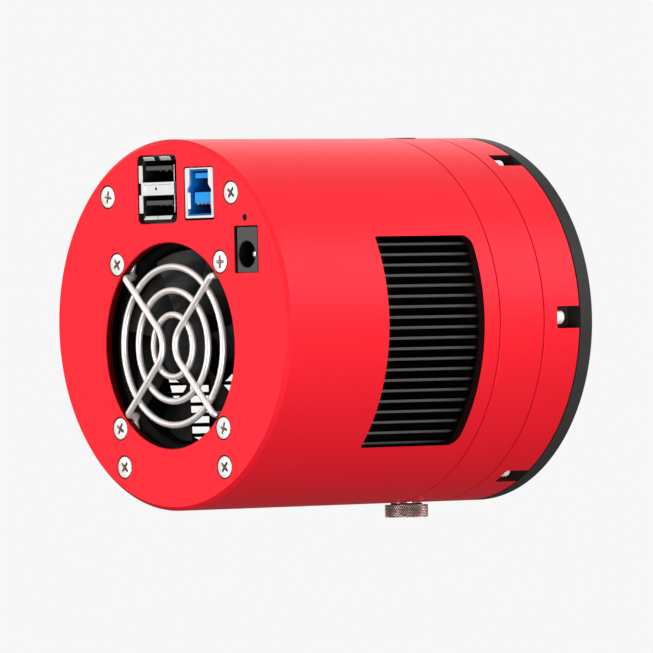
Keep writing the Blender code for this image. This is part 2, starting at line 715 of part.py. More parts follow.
def fan_guard():
    bm = bmesh.new()
    for radius in RING_RADII:
        count = 12 + int(radius * 0.6)
        points = []
        for step in range(count):
            x, z = on_circle(radius, 360.0 * step / count, (FAN_X, FAN_Z))
            points.append((x, RING_DEPTH, z))
        add_tube(bm, points, WIRE_RADIUS, 6, True)
    for x, z in fan_screw_places():
        points = []
        for step in range(8):
            px, pz = on_circle(EYELET_RADIUS, 45.0 * step, (x, z))
            points.append((px, FOOT_DEPTH, pz))
        add_tube(bm, points, WIRE_RADIUS, 6, True)
    guard = make("fan_guard", bm, "steel")
    cutter = bmesh.new()
    for side in (1, -1):
        add_tube(cutter, cross_wire(side), WIRE_RADIUS, 6)
    combine(guard, cutter, "UNION")


def cross_wire(side):
    """The route of one bent guard wire: straight legs at 45 degrees, joined by an arc past the centre."""
    diagonal = math.sqrt(0.5)
    legs = ((25.7, FOOT_DEPTH), (24.7, FOOT_DEPTH), (24.0, FOOT_DEPTH - 0.3), (23.7, FOOT_DEPTH - 1.0))
    legs += ((23.7, CROSS_DEPTH + 1.0), (23.4, CROSS_DEPTH + 0.3), (22.6, CROSS_DEPTH))
    upper = [(reach * diagonal, depth, reach * diagonal) for reach, depth in legs]
    centre = CROSS_ARC * math.sqrt(2.0)
    arc = []
    for step in range(7):
        angle = math.radians(135.0 + 90.0 * step / 6)
        arc.append((centre + CROSS_ARC * math.cos(angle), CROSS_DEPTH, CROSS_ARC * math.sin(angle)))
    lower = [(u, depth, -w) for u, depth, w in reversed(upper)]
    return [(FAN_X + side * u, depth, FAN_Z + w) for u, depth, w in upper + arc + lower]


def fan_frame():
    centre = (FAN_X, FAN_Z)
    bm = bmesh.new()
    half = FAN_SIDE / 2
    outline = rounded(FAN_X - half, FAN_X + half, FAN_Z - half, FAN_Z + half, (FRAME_CORNER,) * 4, 3)
    add_prism(bm, outline, FAN_REAR, FAN_FRONT)
    frame = make("fan_frame", bm, "fan_plastic")

    cutter = bmesh.new()
    ends = (FAN_REAR - OVERSHOOT, FAN_FRONT + OVERSHOOT)
    add_rod(cutter, FAN_DUCT_RADIUS, *ends, centre, 36)
    for place in fan_screw_places():
        add_rod(cutter, SCREW_RADIUS + FREE_FIT, *ends, place, 10)
    combine(frame, cutter, "DIFFERENCE")

    cutter = bmesh.new()
    steps = 4
    for quarter in range(4):
        start = 90.0 * quarter + FRAME_NOTCH_START
        end = 90.0 * quarter + FRAME_NOTCH_END
        turns = [start + (end - start) * step / steps for step in range(steps + 1)]
        corner = [on_circle(FRAME_NOTCH_RADIUS, turn, centre) for turn in turns]
        corner += [on_circle(FRAME_NOTCH_REACH, end, centre), on_circle(FRAME_NOTCH_REACH, start, centre)]
        add_prism(cutter, corner, FAN_REAR + FRAME_FLANGE, FAN_FRONT - FRAME_FLANGE)
    combine(frame, cutter, "DIFFERENCE")

    struts = bmesh.new()
    plate = FAN_FRONT - STRUT_DEPTH
    front = FAN_FRONT - STRUT_STEP
    bore = BEARING_RADIUS + 2 * STRUT_STEP
    boss = HUB_REAR + BOSS_DEPTH
    profile = [(bore, boss), (BOSS_RADIUS, boss), (BOSS_RADIUS, plate), (HUB_RADIUS, plate)]
    add_turned(struts, profile + [(HUB_RADIUS, front), (bore, front)], centre, 16)
    combine(frame, struts, "UNION")
    struts = bmesh.new()
    reach = (HUB_RADIUS - OVERSHOOT, FAN_DUCT_RADIUS + 2 * GAP)
    depth = (plate + STRUT_STEP, front - STRUT_STEP)
    for index in range(STRUT_COUNT):
        turn = STRUT_TURN + 360.0 * index / STRUT_COUNT
        add_turned_box(struts, reach, depth, (-STRUT_HALF, STRUT_HALF), turn, centre)
    combine(frame, struts, "UNION")


def add_blade(bm, start):
    """One swept, twisted blade: clockwise with depth as seen from behind."""
    spans = 2
    chords = 3
    root = HUB_RADIUS - BLADE_ROOT_OVERLAP
    depth = HUB_FRONT - HUB_REAR - 2 * BLADE_INSET
    faces = []
    for side in (-0.5, 0.5):
        grid = []
        for i in range(spans + 1):
            share = i / spans
            radius = root + share * (BLADE_TIP_RADIUS - root)
            wrap = BLADE_WRAP_ROOT + share * (BLADE_WRAP_TIP - BLADE_WRAP_ROOT)
            row = []
            for j in range(chords + 1):
                chord = j / chords
                angle = start - wrap * (chord + BLADE_BOW * math.sin(math.pi * chord))
                x, z = on_circle(radius, angle, (FAN_X, FAN_Z))
                y = HUB_REAR + BLADE_INSET + chord * depth + side * BLADE_THICKNESS
                row.append(bm.verts.new((x, y, z)))
            grid.append(row)
        faces.append(grid)
    near, far = faces
    for i in range(spans):
        for j in range(chords):
            bm.faces.new((near[i][j], near[i + 1][j], near[i + 1][j + 1], near[i][j + 1]))
            bm.faces.new((far[i][j], far[i][j + 1], far[i + 1][j + 1], far[i + 1][j]))
    for i in range(spans):
        bm.faces.new((near[i][0], far[i][0], far[i + 1][0], near[i + 1][0]))
        bm.faces.new((near[i + 1][chords], far[i + 1][chords], far[i][chords], near[i][chords]))
    for j in range(chords):
        bm.faces.new((near[0][j + 1], far[0][j + 1], far[0][j], near[0][j]))
        bm.faces.new((near[spans][j], far[spans][j], far[spans][j + 1], near[spans][j + 1]))


def fan_rotor():
    pivot = (FAN_X, HUB_REAR, FAN_Z)
    inner = HUB_RADIUS - HUB_WALL
    floor = HUB_REAR + HUB_FLOOR
    shaft_end = FAN_FRONT - SHAFT_STOP
    bm = bmesh.new()
    profile = [(0.0, HUB_REAR), (HUB_RADIUS - HUB_CHAMFER, HUB_REAR), (HUB_RADIUS, HUB_REAR + HUB_CHAMFER)]
    profile += [(HUB_RADIUS, HUB_FRONT), (inner, HUB_FRONT), (inner, floor), (SHAFT_RADIUS, floor)]
    add_turned(bm, profile + [(SHAFT_RADIUS, shaft_end), (0.0, shaft_end)], (FAN_X, FAN_Z), 20)
    rotor = make("fan_rotor", bm, "fan_plastic", pivot)
    blades = bmesh.new()
    for index in range(BLADE_COUNT):
        add_blade(blades, BLADE_START + 360.0 * index / BLADE_COUNT)
    combine(rotor, blades, "UNION")


def fan_inside():
    centre = (FAN_X, FAN_Z)
    bm = bmesh.new()
    low = HUB_REAR + BOSS_DEPTH
    add_ring(bm, *BEARING, low, FAN_FRONT - GAP, centre, 12)
    make("fan_bearing", bm, "brass")
    bm = bmesh.new()
    add_ring(bm, *STATOR, centre, 16)
    make("fan_stator", bm, "copper")


# ---------------------------------------------------------------- heat sink


def heat_sink():
    bm = bmesh.new()
    add_rod(bm, SINK_BASE_RADIUS, SINK_BASE_REAR, SINK_BASE_FRONT, segments=48)
    sink = make("heat_sink", bm, "black_anodised")
    fins = bmesh.new()
    pitch = (FIN_TOP - FIN_BOTTOM - FIN_THICKNESS) / (FIN_COUNT - 1)
    for index in range(FIN_COUNT):
        low = FIN_BOTTOM + pitch * index
        high = low + FIN_THICKNESS
        half = math.sqrt(FIN_RADIUS**2 - max(abs(low), abs(high)) ** 2)
        add_box(fins, (-half, half), (FIN_REAR, SINK_BASE_REAR + FIN_ROOT), (low, high))
    combine(sink, fins, "UNION")
    cutter = bmesh.new()
    for centre in COVER_SCREWS:
        ends = (SINK_BASE_REAR - OVERSHOOT, SINK_BASE_FRONT + OVERSHOOT)
        add_rod(cutter, STANDOFF_STUD_RADIUS + CLEARANCE, *ends, centre, 8)
    combine(sink, cutter, "DIFFERENCE")


# ---------------------------------------------------------------- sockets


def inset(cutout, margin):
    x0, x1, z0, z1 = cutout
    return (x0 + margin, x1 - margin, z0 + margin, z1 - margin)


def usb_a():
    x0, x1, z0, z1 = inset(USB_A, GAP)
    wall = SOCKET_WALL
    middle = (z0 + z1) / 2
    mouths = ((z0 + wall, middle - USB_A_BAR_HALF), (middle + USB_A_BAR_HALF, z1 - wall))
    across = (x0 + wall, x1 - wall)
    bm = bmesh.new()
    add_box(bm, (x0, x1), (SOCKET_FACE, USB_LENGTH), (z0, z1))
    shell = make("usb_a_shell", bm, "socket_metal")
    cutter = bmesh.new()
    for mouth in mouths:
        add_box(cutter, across, (SOCKET_FACE - OVERSHOOT, USB_LENGTH - USB_A_CAVITY_STOP), mouth)
    combine(shell, cutter, "DIFFERENCE")
    cutter = bmesh.new()
    add_box(cutter, across, (USB_LENGTH - USB_A_BACK_STOP, USB_LENGTH - wall), (z0 + wall, z1 - wall))
    combine(shell, cutter, "DIFFERENCE")

    bm = bmesh.new()
    margin = wall + GAP
    back = USB_LENGTH - margin - USB_A_INSERT_DEPTH
    add_box(bm, (x0 + margin, x1 - margin), (back, USB_LENGTH - margin), (z0 + margin, z1 - margin))
    insert = make("usb_a_insert", bm, "black_plastic")
    tongues = bmesh.new()
    across = (x0 + USB_A_TONGUE_SIDE, x1 - USB_A_TONGUE_SIDE)
    for _, high in mouths:
        top = high - USB_A_TONGUE_TOP
        depth = (SOCKET_FACE + USB_A_TONGUE_RECESS, back + OVERSHOOT)
        add_box(tongues, across, depth, (top - USB_A_TONGUE_THICKNESS, top))
    combine(insert, tongues, "UNION")


def usb_b():
    x0, x1, z0, z1 = inset(USB_B, GAP)
    wall = SOCKET_WALL
    margin = wall + GAP
    bm = bmesh.new()
    add_box(bm, (x0, x1), (SOCKET_FACE, USB_LENGTH), (z0, z1))
    shell = make("usb_b_shell", bm, "socket_metal")
    cutter = bmesh.new()
    depth = (SOCKET_FACE - OVERSHOOT, USB_LENGTH - wall)
    add_box(cutter, (x0 + wall, x1 - wall), depth, (z0 + wall, z1 - wall))
    combine(shell, cutter, "DIFFERENCE")

    bm = bmesh.new()
    depth = (SOCKET_FACE + USB_B_INSERT_RECESS, USB_LENGTH - margin)
    add_box(bm, (x0 + margin, x1 - margin), depth, (z0 + margin, z1 - margin))
    insert = make("usb_b_insert", bm, "blue_plastic")
    cutter = bmesh.new()
    centre = (x0 + x1) / 2
    right = [
        (USB_B_WIDE_HALF, z0 + USB_B_MOUTH_LOW),
        (USB_B_WIDE_HALF, z0 + USB_B_SHOULDER_LOW),
        (USB_B_NARROW_HALF, z0 + USB_B_SHOULDER_HIGH),
        (USB_B_NARROW_HALF, z1 - USB_B_MOUTH_TOP),
    ]
    outline = [(centre + half, z) for half, z in right] + [(centre - half, z) for half, z in reversed(right)]
    add_prism(cutter, outline, SOCKET_FACE - OVERSHOOT, USB_LENGTH - USB_B_MOUTH_STOP)
    combine(insert, cutter, "DIFFERENCE")
    tongues = bmesh.new()
    depth = (SOCKET_FACE + USB_B_TONGUE_RECESS, USB_LENGTH - USB_B_TONGUE_STOP)
    for half, low, high in USB_B_TONGUES:
        add_box(tongues, (centre - half, centre + half), depth, (z0 + low, z0 + high))
    combine(insert, tongues, "UNION")


def dc_jack():
    x0, x1, z0, z1 = inset(DC_JACK, GAP)
    bm = bmesh.new()
    add_box(bm, (x0, x1), (SOCKET_FACE, JACK_LENGTH), (z0, z1))
    body = make("dc_jack_body", bm, "jack_plastic")
    cutter = bmesh.new()
    start = SOCKET_FACE - OVERSHOOT
    floor = SOCKET_FACE + JACK_BORE_DEPTH
    end = JACK_LENGTH + OVERSHOOT
    pin_hole = JACK_PIN_RADIUS + JACK_PIN_FIT
    profile = [(0.0, start), (JACK_BORE_RADIUS, start), (JACK_BORE_RADIUS, floor), (pin_hole, floor)]
    add_turned(cutter, profile + [(pin_hole, end), (0.0, end)], JACK_BORE, 16)
    combine(body, cutter, "DIFFERENCE")
    bm = bmesh.new()
    tip = SOCKET_FACE + JACK_PIN_RECESS
    profile = [(0.0, tip), (JACK_PIN_TIP_RADIUS, tip), (JACK_PIN_RADIUS, tip + JACK_PIN_TIP_LENGTH)]
    add_turned(bm, profile + [(JACK_PIN_RADIUS, JACK_LENGTH), (0.0, JACK_LENGTH)], JACK_BORE, 10)
    make("dc_jack_pin", bm, "brass")


def interface_board():
    """A level board under the USB sockets, notched round the jack and the light pipe."""
    bm = bmesh.new()
    low = [bm.verts.new((x, y, BOARD_LOW)) for x, y in BOARD_OUTLINE]
    high = [bm.verts.new((x, y, BOARD_HIGH)) for x, y in BOARD_OUTLINE]
    bm.faces.new(low)
    bm.faces.new(reversed(high))
    for index in range(len(BOARD_OUTLINE)):
        after = (index + 1) % len(BOARD_OUTLINE)
        bm.faces.new((low[index], high[index], high[after], low[after]))
    make("interface_board", bm, "board")
    bm = bmesh.new()
    add_rod(bm, LIGHT_RADIUS, SOCKET_FACE, LIGHT_LENGTH, LIGHT, 8)
    make("status_light_pipe", bm, "light_pipe")


# ---------------------------------------------------------------- chamber


def chamber():
    for name, slot, x, y, z in CHAMBER_BOXES:
        bm = bmesh.new()
        add_box(bm, x, y, z)
        make(name, bm, slot)
    bm = bmesh.new()
    add_ring(bm, *CHAMBER_SEAL, segments=32)
    make("chamber_seal", bm, "rubber")


def front_optics():
    for name, slot, inner, outer, low, high in OPTIC_RINGS:
        bm = bmesh.new()
        add_ring(bm, inner, outer, low, high, segments=24)
        make(name, bm, slot)
    bm = bmesh.new()
    add_rod(bm, PANE_RADIUS, *PANE_DEPTH, segments=32)
    make("protect_window", bm, "glass")
    bm = bmesh.new()
    half_x, half_z, corner = GUIDE_PANE
    outline = rounded(-half_x, half_x, GUIDE_Z - half_z, GUIDE_Z + half_z, (corner,) * 4, 2)
    add_prism(bm, outline, *GUIDE_PANE_DEPTH)
    make("guide_window", bm, "glass")


def desiccant_cap():
    """The knurled cap with its shank and tube, its seal and the tablets in the tube."""
    down = place_port(-1)
    pivot = (0.0, PORT_DEPTH, -BODY_RADIUS)
    low = BODY_RADIUS + CAP_HEAD_GAP
    high = BODY_RADIUS + CAP_HEAD_REACH
    neck = low - CAP_NECK_HEIGHT
    bore = TABLET_RADIUS + FREE_FIT
    profile = [(0.0, CAP_TUBE_FLOOR), (bore, CAP_TUBE_FLOOR), (bore, CAP_TUBE_TIP)]
    profile += [(CAP_TUBE_RADIUS, CAP_TUBE_TIP), (CAP_TUBE_RADIUS, CAP_TUBE_END)]
    profile += [(CAP_SHANK_RADIUS, CAP_SHANK_END), (CAP_SHANK_RADIUS, neck)]
    profile += [(CAP_NECK_RADIUS, neck), (CAP_NECK_RADIUS, low), (CAP_HEAD_RADIUS - CAP_CHAMFER, low)]
    profile += [(CAP_HEAD_RADIUS, low + CAP_CHAMFER), (CAP_HEAD_RADIUS, high - CAP_CHAMFER)]
    profile += [(CAP_HEAD_RADIUS - CAP_CHAMFER, high), (0.0, high)]
    bm = bmesh.new()
    add_turned(bm, profile, segments=20, place=down)
    make("desiccant_cap", bm, "thumb_steel", pivot)
    bm = bmesh.new()
    add_ring(bm, *CAP_SEAL, segments=16, place=down)
    make("cap_seal", bm, "rubber", pivot)
    for index in range(TABLET_COUNT):
        bm = bmesh.new()
        end = TABLET_LOW + TABLET_PITCH * index
        add_rod(bm, TABLET_RADIUS, end, end + TABLET_LENGTH, segments=12, place=down)
        make(f"desiccant_tablet_{index + 1}", bm, "desiccant", pivot)


def top_plug():
    face = BODY_RADIUS + PLUG_PROUD
    wide = PORT_RECESS_RADIUS - PLUG_FIT
    floor = face - SOCKET_DEPTH
    profile = [(0.0, PLUG_TIP), (PLUG_RADIUS, PLUG_TIP), (PLUG_RADIUS, PLUG_SHOULDER), (wide, PLUG_SHOULDER)]
    profile += [(wide, face), (PLUG_SOCKET_RADIUS, face), (PLUG_SOCKET_RADIUS, floor), (0.0, floor)]
    bm = bmesh.new()
    add_turned(bm, profile, segments=16, place=place_port(1))
    make("top_port_plug", bm, "black_anodised")


def build():
    clear_scene()
    rear_shell()
    middle_ring()
    front_ring()
    window_carrier()
    tilt_plate()
    fasteners()
    standoffs()
    fan_guard()
    fan_frame()
    fan_rotor()
    fan_inside()
    heat_sink()
    usb_a()
    usb_b()
    dc_jack()
    interface_board()
    chamber()
    front_optics()
    desiccant_cap()
    top_plug()


build()
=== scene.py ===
"""Looks of the cooled astronomy camera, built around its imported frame.

Shapes are drawn in millimetres on the bench frame: +Y runs forward from the rear face, +Z is up and
+X is right as seen from behind. solid() turns them into metres in the frame's own axes.
"""

import json
import math

import bmesh
import bpy
from mathutils import Matrix, Vector


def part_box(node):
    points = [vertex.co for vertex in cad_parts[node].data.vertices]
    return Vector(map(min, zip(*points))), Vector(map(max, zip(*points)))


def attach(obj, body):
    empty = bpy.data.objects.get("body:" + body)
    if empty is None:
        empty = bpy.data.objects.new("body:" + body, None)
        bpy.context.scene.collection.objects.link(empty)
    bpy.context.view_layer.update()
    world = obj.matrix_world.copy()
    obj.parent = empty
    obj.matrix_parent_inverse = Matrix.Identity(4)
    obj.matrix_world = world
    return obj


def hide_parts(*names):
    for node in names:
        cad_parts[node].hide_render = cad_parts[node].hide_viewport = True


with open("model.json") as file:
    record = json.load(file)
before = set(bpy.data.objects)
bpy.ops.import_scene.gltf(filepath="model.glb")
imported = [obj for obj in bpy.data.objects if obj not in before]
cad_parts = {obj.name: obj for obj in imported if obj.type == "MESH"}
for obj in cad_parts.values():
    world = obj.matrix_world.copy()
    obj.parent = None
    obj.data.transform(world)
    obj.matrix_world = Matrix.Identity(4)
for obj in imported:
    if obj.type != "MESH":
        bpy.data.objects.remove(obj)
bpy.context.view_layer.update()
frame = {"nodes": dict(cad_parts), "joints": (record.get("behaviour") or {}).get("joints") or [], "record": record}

MM = 0.001
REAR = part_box("rear_shell")[0].y


def bench(node):
    """A CAD node's lowest and highest corner on the bench frame."""
    low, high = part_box(node)
    shift = Vector((0.0, REAR, 0.0))
    return [Vector([round(value / MM, 3) for value in corner - shift]) for corner in (low, high)]


def middle_of(node):
    """The (x, z) of a CAD node's middle."""
    low, high = bench(node)
    return ((low.x + high.x) / 2, (low.z + high.z) / 2)


def ends(node):
    """Where a CAD node starts and ends along Y."""
    return [corner.y for corner in bench(node)]


def numbered(name, count):
    """The names of CAD nodes that come in a numbered row."""
    return [f"{name}_{index}" for index in range(1, count + 1)]


SLOT_OF = {part["node"]: part["material_slot"] for part in frame["record"]["subparts"]}
JOINTS = {joint["name"]: joint for joint in frame["joints"]}

# Drum
RADIUS = bench("rear_shell")[1].x
SHELL_FRONT = bench("rear_shell")[1].y
RING_REAR, RING_FRONT = ends("middle_ring")
CROWN_REAR, CROWN_FRONT = ends("front_ring")
PLATE_REAR, PLATE_FRONT = ends("tilt_plate")
SHELL_WALL = 2.25
REAR_WALL = 2.0
RIM = 0.9
EDGE = 0.13
FINE = 256

# How far a cutter runs past what it cuts
PAST = 1.0

# Fan
FAN = (JOINTS["fan_spin"]["pos_m"][0] / MM, JOINTS["fan_spin"]["pos_m"][2] / MM)
FAN_OPENING = 25.0
FAN_REAR, FAN_FRONT = ends("fan_frame")
DUCT_RADIUS = 24.0
HUB_RADIUS = 9.6
HUB_REAR = bench("fan_rotor")[0].y
HUB_FRONT = 12.2
TIP_RADIUS = 23.2
BLADES = 7
BLADE_START = 67.4
WRAP_ROOT = 38.0
WRAP_TIP = 50.0

# Guard
WIRE = 0.8
RING_RADII = (7.55, 13.45, 19.2)
RING_DEPTH = 1.3
CROSS_DEPTH = -0.1
FOOT_DEPTH = 3.05
CROSS_ARC = 5.92

# Fasteners
HEAD = 2.6
SHANK = 1.5
SOCKET_DEPTH = 1.3
PULL_SCREWS = numbered("tilt_pull_screw", 3)
PUSH_SCREWS = numbered("tilt_push_screw", 3)
COVER_TURNS = (38.0, 12.0, 42.0, 40.0)
FAN_TURNS = (0.0, 55.0, 30.0, 18.0)
# Depth from the head's face, arm's length and half its width, down the cross recess
RECESS = ((-0.3, 1.62, 0.38), (0.02, 1.55, 0.33), (1.0, 0.8, 0.18))

# Flank windows
WINDOW_REAR = 31.3
WINDOW_FRONT = 61.5
WINDOW_LOW = -30.6
WINDOW_HIGH = 20.4
WINDOW_CORNERS = (0.6, 2.75)

# Gaps round the sockets: left, right, bottom, top and corner radius of the opening
SOCKET_FITS = {
    "usb_a_shell": (0.35, 0.3, 0.1, -0.1, 1.5),
    "usb_b_shell": (0.35, 0.05, 0.2, -0.05, 0.5),
    "dc_jack_body": (0.5, 0.55, 0.1, 0.15, 0.3),
}
TAB_DEPTH = 0.5
LIGHT_HOLE = 0.82

# Ports
PORT_Y = JOINTS["cap_turn"]["pos_m"][1] / MM - REAR / MM


# ---- mesh tools


def circle_point(radius, degrees, centre=(0.0, 0.0)):
    angle = math.radians(degrees)
    return (centre[0] + radius * math.cos(angle), centre[1] + radius * math.sin(angle))


def softened(points, steps=4):
    """An outline whose (a, b, radius) corners become arcs."""
    out = []
    count = len(points)
    for index, point in enumerate(points):
        here = Vector(point[:2])
        radius = point[2] if len(point) > 2 else 0.0
        if not radius:
            out.append((here.x, here.y))
            continue
        before = (Vector(points[index - 1][:2]) - here).normalized()
        after = (Vector(points[(index + 1) % count][:2]) - here).normalized()
        half = before.angle(after) / 2
        reach = radius / math.tan(half)
        centre = here + (before + after).normalized() * (radius / math.sin(half))
        first = here + before * reach - centre
        last = here + after * reach - centre
        angle = first.angle(last)
        for step in range(steps + 1):
            share = step / steps
            spoke = (first * math.sin((1 - share) * angle) + last * math.sin(share * angle)) / math.sin(angle)
            out.append(((centre + spoke).x, (centre + spoke).y))
    return out


def turned(bm, profile, centre=(0.0, 0.0), segments=FINE, place=None):
    """A solid turned about Y. A profile of (radius, y) that starts off the axis is a closed loop."""
    rings = []
    for radius, y in profile:
        count = segments if radius else 1
        ring = []
        for step in range(count):
            x, z = circle_point(radius, 360.0 * step / count, centre)
            ring.append(bm.verts.new((x, y, z)))
        rings.append(ring)
    pairs = list(zip(rings, rings[1:]))
    if profile[0][0]:
        pairs.append((rings[-1], rings[0]))
    for first, second in pairs:
        for step in range(segments):
            after = (step + 1) % segments
            corners = [first[step % len(first)], first[after % len(first)]]
            corners += [second[after % len(second)], second[step % len(second)]]
            unique = list(dict.fromkeys(corners))
            if len(unique) > 2:
                bm.faces.new(unique)
    if place:
        bmesh.ops.transform(bm, matrix=place, verts=[vert for ring in rings for vert in ring])


def rod(bm, radius, low, high, centre, segments=48):
    turned(bm, [(0.0, low), (radius, low), (radius, high), (0.0, high)], centre, segments)


def loft(bm, loops):
    """A closed solid through loops of equally many points."""
    rings = [[bm.verts.new(point) for point in loop] for loop in loops]
    count = len(rings[0])
    bm.faces.new(rings[0])
    bm.faces.new(reversed(rings[-1]))
    for first, second in zip(rings, rings[1:]):
        for index in range(count):
            after = (index + 1) % count
            bm.faces.new((first[index], second[index], second[after], first[after]))


def prism(bm, outline, levels, place=None):
    """A solid that carries an (x, z) outline along Y from one level to the next."""
    place = place or Matrix()
    loft(bm, [[place @ Vector((x, level, z)) for x, z in outline] for level in levels])


def block(bm, x, y, z, corner=0.0, steps=4):
    """A box between (low, high) pairs, with its four edges along Y rounded."""
    prism(bm, rectangle(x, z, corner, steps), y)


def rectangle(x, z, corner=0.0, steps=6):
    points = [(x[0], z[0], corner), (x[1], z[0], corner), (x[1], z[1], corner), (x[0], z[1], corner)]
    return softened(points, steps=steps)


def mouth(bm, x, z, corner, depth, flare=EDGE):
    """A cutter through the rear wall whose opening is flared at the face."""
    wide = rectangle((x[0] - flare, x[1] + flare), (z[0] - flare, z[1] + flare), corner + flare)
    tight = rectangle(x, z, corner)
    levels = ((-PAST, wide), (0.0, wide), (flare, tight), (depth, tight))
    loft(bm, [[(a, level, b) for a, b in outline] for level, outline in levels])


def tube(bm, points, radius, sides=16, closed=False):
    """A round tube along points, carried round without twist."""
    points = [Vector(point) for point in points]
    count = len(points)
    rings = []
    across = Vector((0.0, 1.0, 0.0)) if closed else None
    for index, point in enumerate(points):
        before = points[index - 1] if index or closed else point
        after = points[(index + 1) % count] if index < count - 1 or closed else point
        along = (after - before).normalized()
        if across is None:
            across = along.orthogonal()
        across = (across - along * across.dot(along)).normalized()
        other = along.cross(across)
        ring = []
        for side in range(sides):
            u, w = circle_point(radius, 360.0 * side / sides)
            ring.append(bm.verts.new(point + across * u + other * w))
        rings.append(ring)
    pairs = list(zip(rings, rings[1:]))
    if closed:
        pairs.append((rings[-1], rings[0]))
    for first, second in pairs:
        for side in range(sides):
            after = (side + 1) % sides
            bm.faces.new((first[side], first[after], second[after], second[side]))
    if not closed:
        bm.faces.new(rings[0])
        bm.faces.new(reversed(rings[-1]))


def solid(name, bm):
    """A new object from a bench-frame mesh."""
    bmesh.ops.recalc_face_normals(bm, faces=bm.faces)
    bmesh.ops.scale(bm, verts=bm.verts, vec=(MM, MM, MM))
    bmesh.ops.translate(bm, verts=bm.verts, vec=(0.0, REAR, 0.0))
    mesh = bpy.data.meshes.new(name)
    bm.to_mesh(mesh)
    bm.free()
    obj = bpy.data.objects.new(name, mesh)
    bpy.context.scene.collection.objects.link(obj)
    return obj


def drawn(shape, *given, **where):
    """A new bench-frame mesh that holds one shape."""
    bm = bmesh.new()
    shape(bm, *given, **where)
    return bm


def lathe(name, profile, steps, **where):
    """A new object turned about Y, with the profile's corners softened."""
    return solid(name, drawn(turned, softened(profile, steps=steps), **where))


def carve(obj, bm, operation="DIFFERENCE"):
    """Cuts or joins a bench-frame mesh into the object."""
    helper = solid("helper", bm)
    modifier = obj.modifiers.new("carve", "BOOLEAN")
    modifier.operation = operation
    modifier.solver = "EXACT"
    modifier.object = helper
    graph = bpy.context.evaluated_depsgraph_get()
    result = bpy.data.meshes.new_from_object(obj.evaluated_get(graph))
    obj.modifiers.clear()
    obj.data = result
    bpy.data.objects.remove(helper)


def finish(obj, look, *nodes, body="camera_body", slot=None, bevel=0.0, sharp=32.0):
    """Shades a piece, gives it its material, ties it to a body, and hides the CAD nodes it stands for."""
    obj.data.materials.clear()
    obj.data.materials.append(LOOKS[look])
    obj.data.shade_smooth()
    obj.data.set_sharp_from_angle(angle=math.radians(sharp))
    if bevel:
        modifier = obj.modifiers.new("edge break", "BEVEL")
        modifier.width = bevel * MM
        modifier.segments = 2
        modifier.limit_method = "ANGLE"
        modifier.angle_limit = math.radians(sharp + 3.0)
        modifier.use_clamp_overlap = True
    modifier = obj.modifiers.new("flat faces", "WEIGHTED_NORMAL")
    modifier.keep_sharp = True
    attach(obj, body)
    if nodes:
        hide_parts(*nodes)
        slot = slot or SLOT_OF[nodes[0]]
    return obj


def off_axis(centre, axis=(0.0, 0.0)):
    """How far a point is from an axis that runs along Y."""
    return math.hypot(centre.x - axis[0], centre.z - axis[1])


def paint_zone(obj, look, inside):
    """Gives the faces that a test picks a second material. The test reads bench-frame centre and normal."""
    obj.data.materials.append(LOOKS[look])
    index = len(obj.data.materials) - 1
    for face in obj.data.polygons:
        centre = (face.center - Vector((0.0, REAR, 0.0))) / MM
        if inside(centre, face.normal):
            face.material_index = index


# ---- materials

# Every material by its name, as Nodes() makes it
LOOKS = {}


def fill(node, **values):
    """Sets a node's sockets by their names, with _ for each space."""
    for key, value in values.items():
        node.inputs[key.replace("_", " ")].default_value = value


class Nodes:
    """A new material's node tree, with short calls for the nodes that repeat."""

    def __init__(self, name):
        material = bpy.data.materials.new(name)
        material.use_nodes = True
        LOOKS[name] = material
        self.tree = material.node_tree
        self.shader = self.tree.nodes["Principled BSDF"]
        self.place = self.add("ShaderNodeTexCoord").outputs["Object"]

    def add(self, kind, **values):
        """A new node with some of its sockets set."""
        node = self.tree.nodes.new(kind)
        fill(node, **values)
        return node

    def link(self, source, target):
        self.tree.links.new(source, target)

    def stretched(self, scale):
        """The object's coordinates, scaled along each axis."""
        node = self.add("ShaderNodeMapping", Scale=scale)
        self.link(self.place, node.inputs["Vector"])
        return node.outputs["Vector"]

    def noise(self, size_mm, detail=3.0, vector=None):
        node = self.add("ShaderNodeTexNoise", Scale=1.0 / (size_mm * MM), Detail=detail)
        self.link(vector or self.place, node.inputs["Vector"])
        return node.outputs["Fac"]

    def spread(self, value, low, high):
        """A 0.3 to 0.7 noise value spread over low to high."""
        node = self.add("ShaderNodeMapRange", From_Min=0.3, From_Max=0.7, To_Min=low, To_Max=high)
        self.link(value, node.inputs["Value"])
        return node.outputs["Result"]

    def blend(self, factor, first, second):
        node = self.add("ShaderNodeMix")
        node.data_type = "RGBA"
        self.link(factor, node.inputs["Factor"])
        colours = [socket for socket in node.inputs if socket.type == "RGBA"]
        for socket, value in zip(colours, (first, second)):
            if isinstance(value, tuple):
                socket.default_value = (*value, 1.0)
            else:
                self.link(value, socket)
        return [socket for socket in node.outputs if socket.type == "RGBA"][0]

    def bump(self, height, strength, depth_mm):
        node = self.add("ShaderNodeBump", Strength=strength, Distance=depth_mm * MM)
        self.link(height, node.inputs["Height"])
        self.link(node.outputs["Normal"], self.shader.inputs["Normal"])

    def set(self, **values):
        fill(self.shader, **values)


